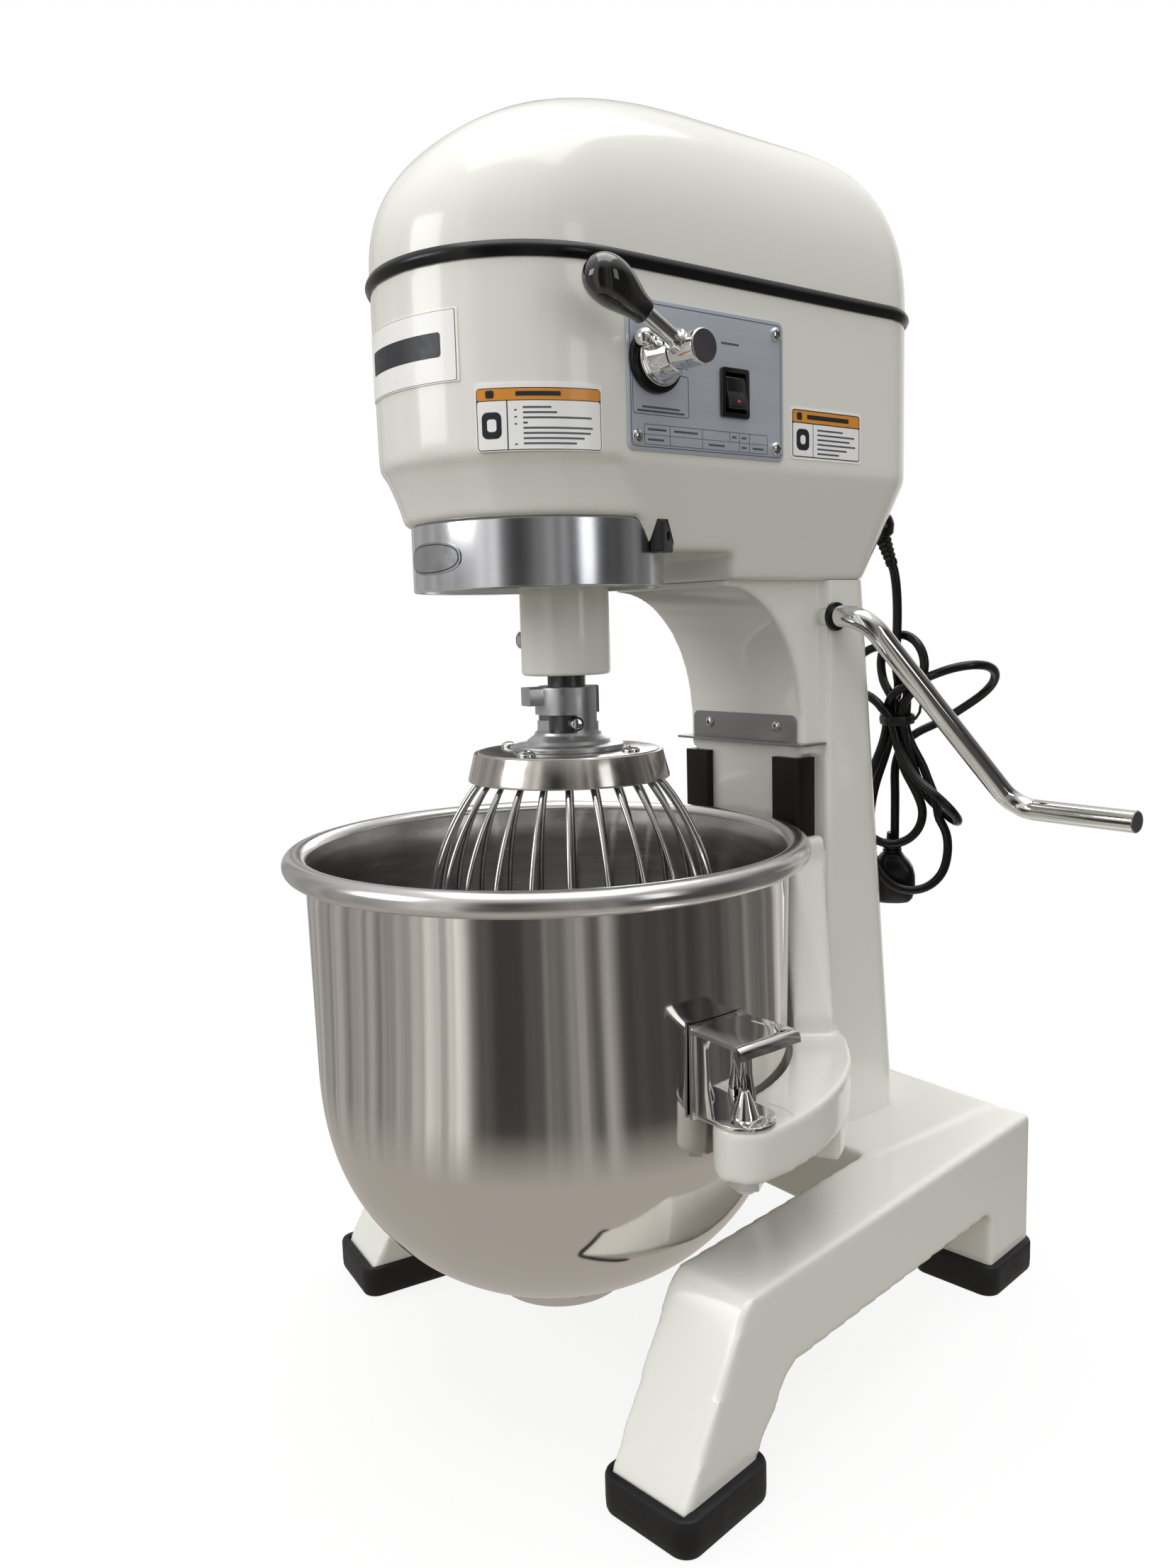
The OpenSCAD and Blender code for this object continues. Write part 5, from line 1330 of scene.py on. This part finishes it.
def crank_line():
    """The crank's middle line in its own plane: shaft, arm and handle with two round bends."""
    (x1, _), (x2, handle) = CORNERS
    arm_a = math.atan2(handle, x2 - x1)
    back = BEND_R * math.tan(arm_a / 2)
    x1, x2 = x1 - back, x2 + back
    out = [(CRANK_START, 0), (-40, 0), (0, 0), (40, 0), (x1 - 4, 0)]
    swing = math.degrees(arm_a)
    out += arc(BEND_R, -90, -90 + swing, 24, (x1, BEND_R))
    low = np.array(out[-1])
    end = arc(BEND_R, 90 + swing, 90, 24, (x2, handle - BEND_R))
    out += [tuple(low + (np.array(end[0]) - low) * k / 12) for k in range(1, 12)]
    return out + end + [(x, handle) for x in (x2 + 4, x2 + 30, CRANK_END - 0.6, CRANK_END)]


crank_path = crank_line()
radii = [CRANK_R] * (len(crank_path) - 1) + [CRANK_R - 0.6]
bar = swept("crank_rod", [(x, y, 0.0) for x, y in crank_path], radii, 48, angle=30)
crank_place = shift(0, SHAFT_Y, SHAFT_Z) @ turn(CRANK_TILT, "X")
fit(moved(bar, crank_place), "crank_bar", mat=CHROME)
end_face = cylinder("crank_end", 7.2, -0.2, 0.12, 48)
extra(moved(end_face, crank_place @ shift(CRANK_END, CORNERS[1][1], 0) @ turn(90, "Y")), "crank_bar",
      HUBFACE)
collars = []
for x in (-74.5, 70.5):
    seal_ring = turned("c", [(8.05, 0), (10.4, 0), (10.4, 4), (8.05, 4)], [0.3, 0.8, 0.8, 0.3], 64, 3)
    collars.append(moved(seal_ring, on_x(x, SHAFT_Y, SHAFT_Z)))
fit(joined("crank_seals", *collars), "crank_collar", mat=GASKET)

# ---------------------------------------------------------------- column

STRIP_TOP, STRIP_BOTTOM, BASE_Z, SHELF_Z = 416.0, 150.0, 126.0, 427.0
RAW_LOW, RAW_TOP, BACK_R = 116, 552, 25
ARCH_Y, ARCH_Z, ARCH_RY, ARCH_RZ = 113, 440, 76.5, 101
SLIDE_TOP = STRIP_TOP + 2
arch = [(ARCH_Y + ARCH_RY * c, ARCH_Z + ARCH_RZ * s) for c, s in arc(1, 90, 0, 60)]


def along_x(name, outline, half, edge=0.0):
    """Pulls a (y, z) outline out along X on both sides of the middle."""
    ob = prism(name, outline, -half, half, edge)
    return moved(ob, Matrix(((0, 0, 1, 0), (1, 0, 0, 0), (0, 1, 0, 0), (0, 0, 0, 1))))


lower = along_x("lower", [(COLUMN_Y, 118), (COLUMN_Y, SLIDE_TOP), (215, SLIDE_TOP), (215, 118)], RECESS_W)
upper = along_x("upper", arch + [(COLUMN_Y, SLIDE_TOP), (225, SLIDE_TOP), (225, RAW_TOP), (ARCH_Y, RAW_TOP)],
                SLIDE_W)
back_pts = [(x, y, z) for x0 in (-45, 45) for y0, z in ((274, RAW_LOW), (233.4, RAW_TOP))
            for x, y in arc(BACK_R, 0, 180, 20, (x0, y0))]
back_pts += [(x, y, z) for x in (-COLUMN_W, COLUMN_W) for y in (REAR_BLOCK_Y, 211)
             for z in (RAW_LOW, RAW_TOP)]
column = cast("column_shell", [lower, upper, hull("back", back_pts)], 2.2, 5)
cut(column, box_of("t", (-200, 0, 60), (200, 400, BASE_Z)),
    box_of("t", (-200, 0, COLUMN_TOP), (200, 400, 600)),
    box_of("lug_slot", (-9, 185, 198), (9, 201, 306)), box_of("way_in", (-40, 240, 190), (40, 300, 440)),
    along_x("core", [(211, BASE_Z + 8), (211, 520), (250, 520), (286, BASE_Z + 8)], 62),
    moved(cylinder("t", 8.05, 0, 160, 48), on_x(-80, SHAFT_Y, SHAFT_Z)), angle=45)
fit(column, "column_casting", mat=WHITE)

REAR_LEAN = math.degrees(math.atan((298 - 259) / (COLUMN_TOP - BASE_Z)))
lid = box_of("back_lid", (0, 0, 0), (100, 2, 270), 0.6)
for k in range(8):
    louvre = box_of("t", (25, -1, 80 + 14 * k), (75, 3, 84 + 14 * k))
    cut(lid, louvre)
for x in (7, 93):
    for z in (7, 135, 263):
        screw = moved(dome_screw("s", 3.4, "cross", 1.4, 1.6, 24), shift(x, 1.6, z) @ turn(-90, "X"))
        fuse(lid, screw)
lid_place = shift(0, 298, BASE_Z) @ turn(REAR_LEAN, "X") @ shift(-50, 0.3, 54)
fit(moved(lid, lid_place), "rear_cover", mat=WHITE)

# Splash shelf: tongue and upright flange with rounded upper corners
tongue = prism("tongue", fillet([(-68, 180.5), (68, 180.5), (68, 206.7), (61.3, 206.7), (61.3, 189.2),
                                 (-61.3, 189.2), (-61.3, 206.7), (-68, 206.7)],
                                [2, 2, 0.5, 0.2, 0.2, 0.2, 0.2, 0.5], 4), SHELF_Z - 2, SHELF_Z - 0.2, 0.3)
upright = [(x, -z) for z, sides in ((SHELF_Z + 20, (-1, 1)), (SHELF_Z - 1, (1, -1)))
           for x in (RECESS_W * sides[0], RECESS_W * sides[1])]
upright = prism("flange", fillet(upright, [5, 5, 0, 0]), 0, 1.6, 0.25)
moved(upright, Matrix(((1, 0, 0, 0), (0, 0, 1, SHELF_FACE_Y * MM), (0, -1, 0, 0), (0, 0, 0, 1))))
fuse(tongue, upright)
for x in SHELF_SCREWS_X:
    cut(tongue, moved(cylinder("t", 2.6, -9, 9, 32), shift(x, 188, SHELF_SCREW_Z) @ turn(90, "X")))
fit(tongue, "splash_shelf", mat=SHELF)

strips = []
for s in (-1, 1):
    flat = fillet([(35, 183), (61, 183), (61, 202), (55.05, 202), (55.05, 189.45), (35, 189.45)],
                  [0.8, 2.4, 0.8, 0.4, 0.6, 0.8], 5)
    if s < 0:
        flat = [(-x, y) for x, y in flat][::-1]
    strips.append(prism("strip", flat, STRIP_BOTTOM, STRIP_TOP, 0.5))
fit(joined("slide_liners", *strips), "slide_strips", mat=STRIP)

# ---------------------------------------------------------------- base

BEAM_W, BEAM_X, SPLAY, BEAM_Z, FOOT_H = 57.0, 196.2, 7.55, 66.0, 24.0
REAR_LEG = (292.0, 353.0)
LEG_LOW = 16
profile = [(-8, BASE_Z), (REAR_LEG[1] + 1, BASE_Z), (REAR_LEG[1] + 1, LEG_LOW), (REAR_LEG[0] - 1, LEG_LOW),
           (REAR_LEG[0] - 1, BEAM_Z), (34, BEAM_Z), (-1, FOOT_H), (-3.5, LEG_LOW), (-69.5, LEG_LOW),
           (-67, FOOT_H)]
base_parts = []
for s in (1, -1):
    flat = fillet(profile, [16, 3, 0, 0, 8, 14, 3, 0, 0, 4], 8)
    beam = along_x("beam", flat, BEAM_W / 2 + 0.8)
    moved(beam, shift(BEAM_X, 0, 0) @ turn(SPLAY, "Z") @ shift(-BEAM_W / 2, 0, 0))
    base_parts.append(moved(beam, FLIP) if s < 0 else beam)
base_parts.append(box_of("bed", (-120, 195.5, BEAM_Z), (120, 348, BASE_Z + 0.8)))
base = cast("base_shell", base_parts, 2.4, 6)
base_tools = [box_of("t", (-400, -200, 0), (400, 500, 20))]
for at in [(x, y) for x in (-40, 40) for y in (225, 270)]:
    base_tools.append(lathe("t", [(0, 60), (14, 60), (14, 78), (6.5, 78), (6.5, 140), (0, 140)], 48, at))
cut(base, *base_tools, angle=45)
fit(base, "base_casting", mat=WHITE)


SHOE_W = 70


def shoe(name, at, length, leg, leg_length):
    """Rubber shoe: a cup round the leg's end, with soft corners and a worn edge."""
    def level(grow, z):
        w, l = SHOE_W / 2 + grow, length / 2 + grow
        pts = fillet([(-w, -l), (w, -l), (w, l), (-w, l)], 12 + grow, 8)
        return [(x, y, z) for x, y in pts]
    levels = ((-2.5, 0), (-1.0, 0.8), (-0.3, 2.5), (0, 8), (0, 15), (0, 21.5), (-0.7, 23.3), (-2.0, FOOT_H))
    ob = loft(name, [level(grow, z) for grow, z in levels])
    moved(ob, shift(*at, 0) @ turn(SPLAY, "Z"))
    tool = box_of("t", (-BEAM_W / 2 - 0.3, -leg_length / 2, 0), (BEAM_W / 2 + 0.3, leg_length / 2, 10))
    cut(ob, moved(tool, shift(*leg, 20) @ turn(SPLAY, "Z")))
    return ob


def leg_middle(y):
    a = math.radians(SPLAY)
    return (BEAM_X - BEAM_W / 2 * math.cos(a) - y * math.sin(a),
            y * math.cos(a) - BEAM_W / 2 * math.sin(a))


for side_name, s in (("right", 1), ("left", -1)):
    for end_name, at, length, leg_y, leg_len in (("front", (174, -38), 80, -34.5, 68.5),
                                                 ("rear", (125.5, 314), 72, sum(REAR_LEG) / 2, 61.6)):
        ob = shoe(f"shoe_{end_name}_{side_name}", at, length, leg_middle(leg_y), leg_len)
        if s < 0:
            moved(ob, FLIP)
        fit(ob, f"foot_{end_name}_{side_name}", mat=RUBBER)

# ---------------------------------------------------------------- carried-over nodes

for name, ob in NODES.items():
    if not ob.hide_render:
        look = SLOT_LOOK[SLOTS[name]]
        if not ob.data.materials:
            ob.data.materials.append(look)
        for i in range(len(ob.data.materials)):
            ob.data.materials[i] = look

# ---------------------------------------------------------------- floor, backdrop and light


def area(name, at, to, size, power, colour=(1, 1, 1)):
    light = bpy.data.lights.new(name, "AREA")
    light.shape, light.energy, light.color = "RECTANGLE", power, colour
    light.size, light.size_y = size
    ob = placed(name, light)
    at, to = Vector(at), Vector(to)
    ob.matrix_world = Matrix.Translation(at) @ (at - to).to_track_quat("Z", "Y").to_matrix().to_4x4()
    return ob


def mix_of(tree, factor, first, second):
    """Mixes two shaders."""
    node = tree.nodes.new("ShaderNodeMixShader")
    if isinstance(factor, float):
        node.inputs["Fac"].default_value = factor
    else:
        tree.links.new(factor, node.inputs["Fac"])
    tree.links.new(first, node.inputs[1])
    tree.links.new(second, node.inputs[2])
    return node.outputs["Shader"]


def bearing(tree, vector, x=0.0, y=0.0):
    """Share of a full turn about a vertical line, and the distance from it."""
    split = tree.nodes.new("ShaderNodeSeparateXYZ")
    tree.links.new(vector, split.inputs["Vector"])
    dx = math_of(tree, "SUBTRACT", split.outputs["X"], x)
    dy = math_of(tree, "SUBTRACT", split.outputs["Y"], y)
    angle = range_of(tree, math_of(tree, "ARCTAN2", dy, dx), -math.pi, math.pi)
    far = math_of(tree, "SQRT", math_of(tree, "ADD", math_of(tree, "MULTIPLY", dx, dx),
                                        math_of(tree, "MULTIPLY", dy, dy)))
    return angle, far, split.outputs["Z"]


# What polished metal sees around the mixer, by bearing: windows, pillars, dark benches
ROOM = [(0.0, 0.36), (0.05, 0.42), (0.10, 0.44), (0.155, 0.37), (0.20, 0.36), (0.225, 0.46),
        (0.252, 0.80), (0.286, 0.88), (0.303, 0.52), (0.32, 0.12), (0.338, 0.02), (0.372, 0.06),
        (0.40, 0.19), (0.415, 0.16), (0.434, 0.42), (0.449, 0.08), (0.466, 0.38), (0.484, 0.06),
        (0.53, 0.04), (0.60, 0.06), (0.645, 0.12), (0.672, 0.22), (0.70, 0.14), (0.735, 0.30),
        (0.775, 0.95), (0.825, 0.95), (0.86, 0.20), (0.90, 0.10), (0.95, 0.60), (1.0, 0.36)]
AMBIENT = [(0.0, 0.72), (0.20, 0.92), (0.33, 0.92), (0.46, 0.72), (0.60, 0.46), (0.80, 0.52), (1.0, 0.72)]


def streaked(tree, share):
    """The room's bands with thin upright streaks in them."""
    tex = tree.nodes.new("ShaderNodeTexNoise")
    tex.noise_dimensions = "1D"
    tex.inputs["Scale"].default_value = 46.0
    tex.inputs["Detail"].default_value = 3.0
    tree.links.new(share, tex.inputs["W"])
    mix = tree.nodes.new("ShaderNodeMix")
    mix.data_type = "RGBA"
    mix.blend_type = "MULTIPLY"
    mix.inputs["Factor"].default_value = 1.0
    tree.links.new(ramp_of(tree, share, ROOM), mix.inputs["A"])
    tree.links.new(range_of(tree, tex.outputs["Fac"], 0.36, 0.64, 0.55, 1.3), mix.inputs["B"])
    return mix.outputs["Result"]


floor_mat = finish("studio_floor", (0.90, 0.90, 0.895, 1), 0.55, vary=0.006, rough_vary=0.03, scale=3)
ft = floor_mat.node_tree
lit = ft.nodes["Principled BSDF"].outputs["BSDF"]
floor_out = ft.nodes["Material Output"]
floor_at = ft.nodes.new("ShaderNodeTexCoord").outputs["Object"]
turn_share, far_off, _ = bearing(ft, floor_at, 0.0, 0.0)
paper_white = ft.nodes.new("ShaderNodeEmission")
paper_white.inputs["Color"].default_value = (1, 1, 1, 1)
seen = mix_of(ft, range_of(ft, far_off, 0.15, 0.55, 0.86, 1.0), lit, paper_white.outputs["Emission"])
mirror_view = ft.nodes.new("ShaderNodeEmission")
room_mix = ft.nodes.new("ShaderNodeMix")
room_mix.data_type = "RGBA"
ft.links.new(range_of(ft, far_off, 0.38, 0.68, 0.0, 0.93), room_mix.inputs["Factor"])
room_mix.inputs["A"].default_value = (0.50, 0.465, 0.425, 1)
ft.links.new(streaked(ft, turn_share), room_mix.inputs["B"])
ft.links.new(room_mix.outputs["Result"], mirror_view.inputs["Color"])
bounce = ft.nodes.new("ShaderNodeEmission")
bounce.inputs["Color"].default_value = (0.23, 0.21, 0.17, 1)
floor_ray = ft.nodes.new("ShaderNodeLightPath")
unseen = mix_of(ft, floor_ray.outputs["Is Glossy Ray"], bounce.outputs["Emission"],
                mirror_view.outputs["Emission"])
ft.links.new(mix_of(ft, floor_ray.outputs["Is Camera Ray"], unseen, seen), floor_out.inputs["Surface"])
floor = prism("studio_ground", [(-6000, -6000), (6000, -6000), (6000, 6000), (-6000, 6000)], -12, 0)
dress(floor, floor_mat)

MIDDLE = (0.0, 0.1, 0.45)
for name, at, size, power, colour in (("key", (-0.6, -2.0, 1.35), (1.0, 1.0), 12, (1, 1, 0.99)),
                                      ("top", (0.1, 0.2, 6.0), (5.6, 5.6), 225, (1, 1, 1)),
                                      ("side", (2.1, 0.3, 0.9), (0.5, 1.2), 3, (1, 1, 0.99)),
                                      ("rim", (-1.6, 1.7, 1.3), (0.8, 1.2), 8, (1, 1, 1))):
    area(name, at, MIDDLE, size, power, colour)

world = bpy.data.worlds.new("studio")
scene.world = world
world.use_nodes = True
wt = world.node_tree
wt.nodes.clear()
sky_out = wt.nodes.new("ShaderNodeOutputWorld")


def background(colour, strength):
    node = wt.nodes.new("ShaderNodeBackground")
    node.inputs["Strength"].default_value = strength
    if isinstance(colour, tuple):
        node.inputs["Color"].default_value = colour
    else:
        wt.links.new(colour, node.inputs["Color"])
    return node.outputs["Background"]


sky_share, _, up_by = bearing(wt, wt.nodes.new("ShaderNodeTexCoord").outputs["Generated"])
overhead = wt.nodes.new("ShaderNodeMix")
overhead.data_type = "RGBA"
wt.links.new(range_of(wt, up_by, 0.40, 0.85), overhead.inputs["Factor"])
wt.links.new(streaked(wt, sky_share), overhead.inputs["A"])
overhead.inputs["B"].default_value = (0.85, 0.85, 0.84, 1)
sky_ray = wt.nodes.new("ShaderNodeLightPath")
ambient = background(ramp_of(wt, sky_share, AMBIENT, 0.02), 1.0)
mirrored_room = background(overhead.outputs["Result"], 1.0)
hidden = mix_of(wt, sky_ray.outputs["Is Glossy Ray"], ambient, mirrored_room)
wt.links.new(mix_of(wt, sky_ray.outputs["Is Camera Ray"], hidden, background((1, 1, 1, 1), 1.0)),
             sky_out.inputs["Surface"])
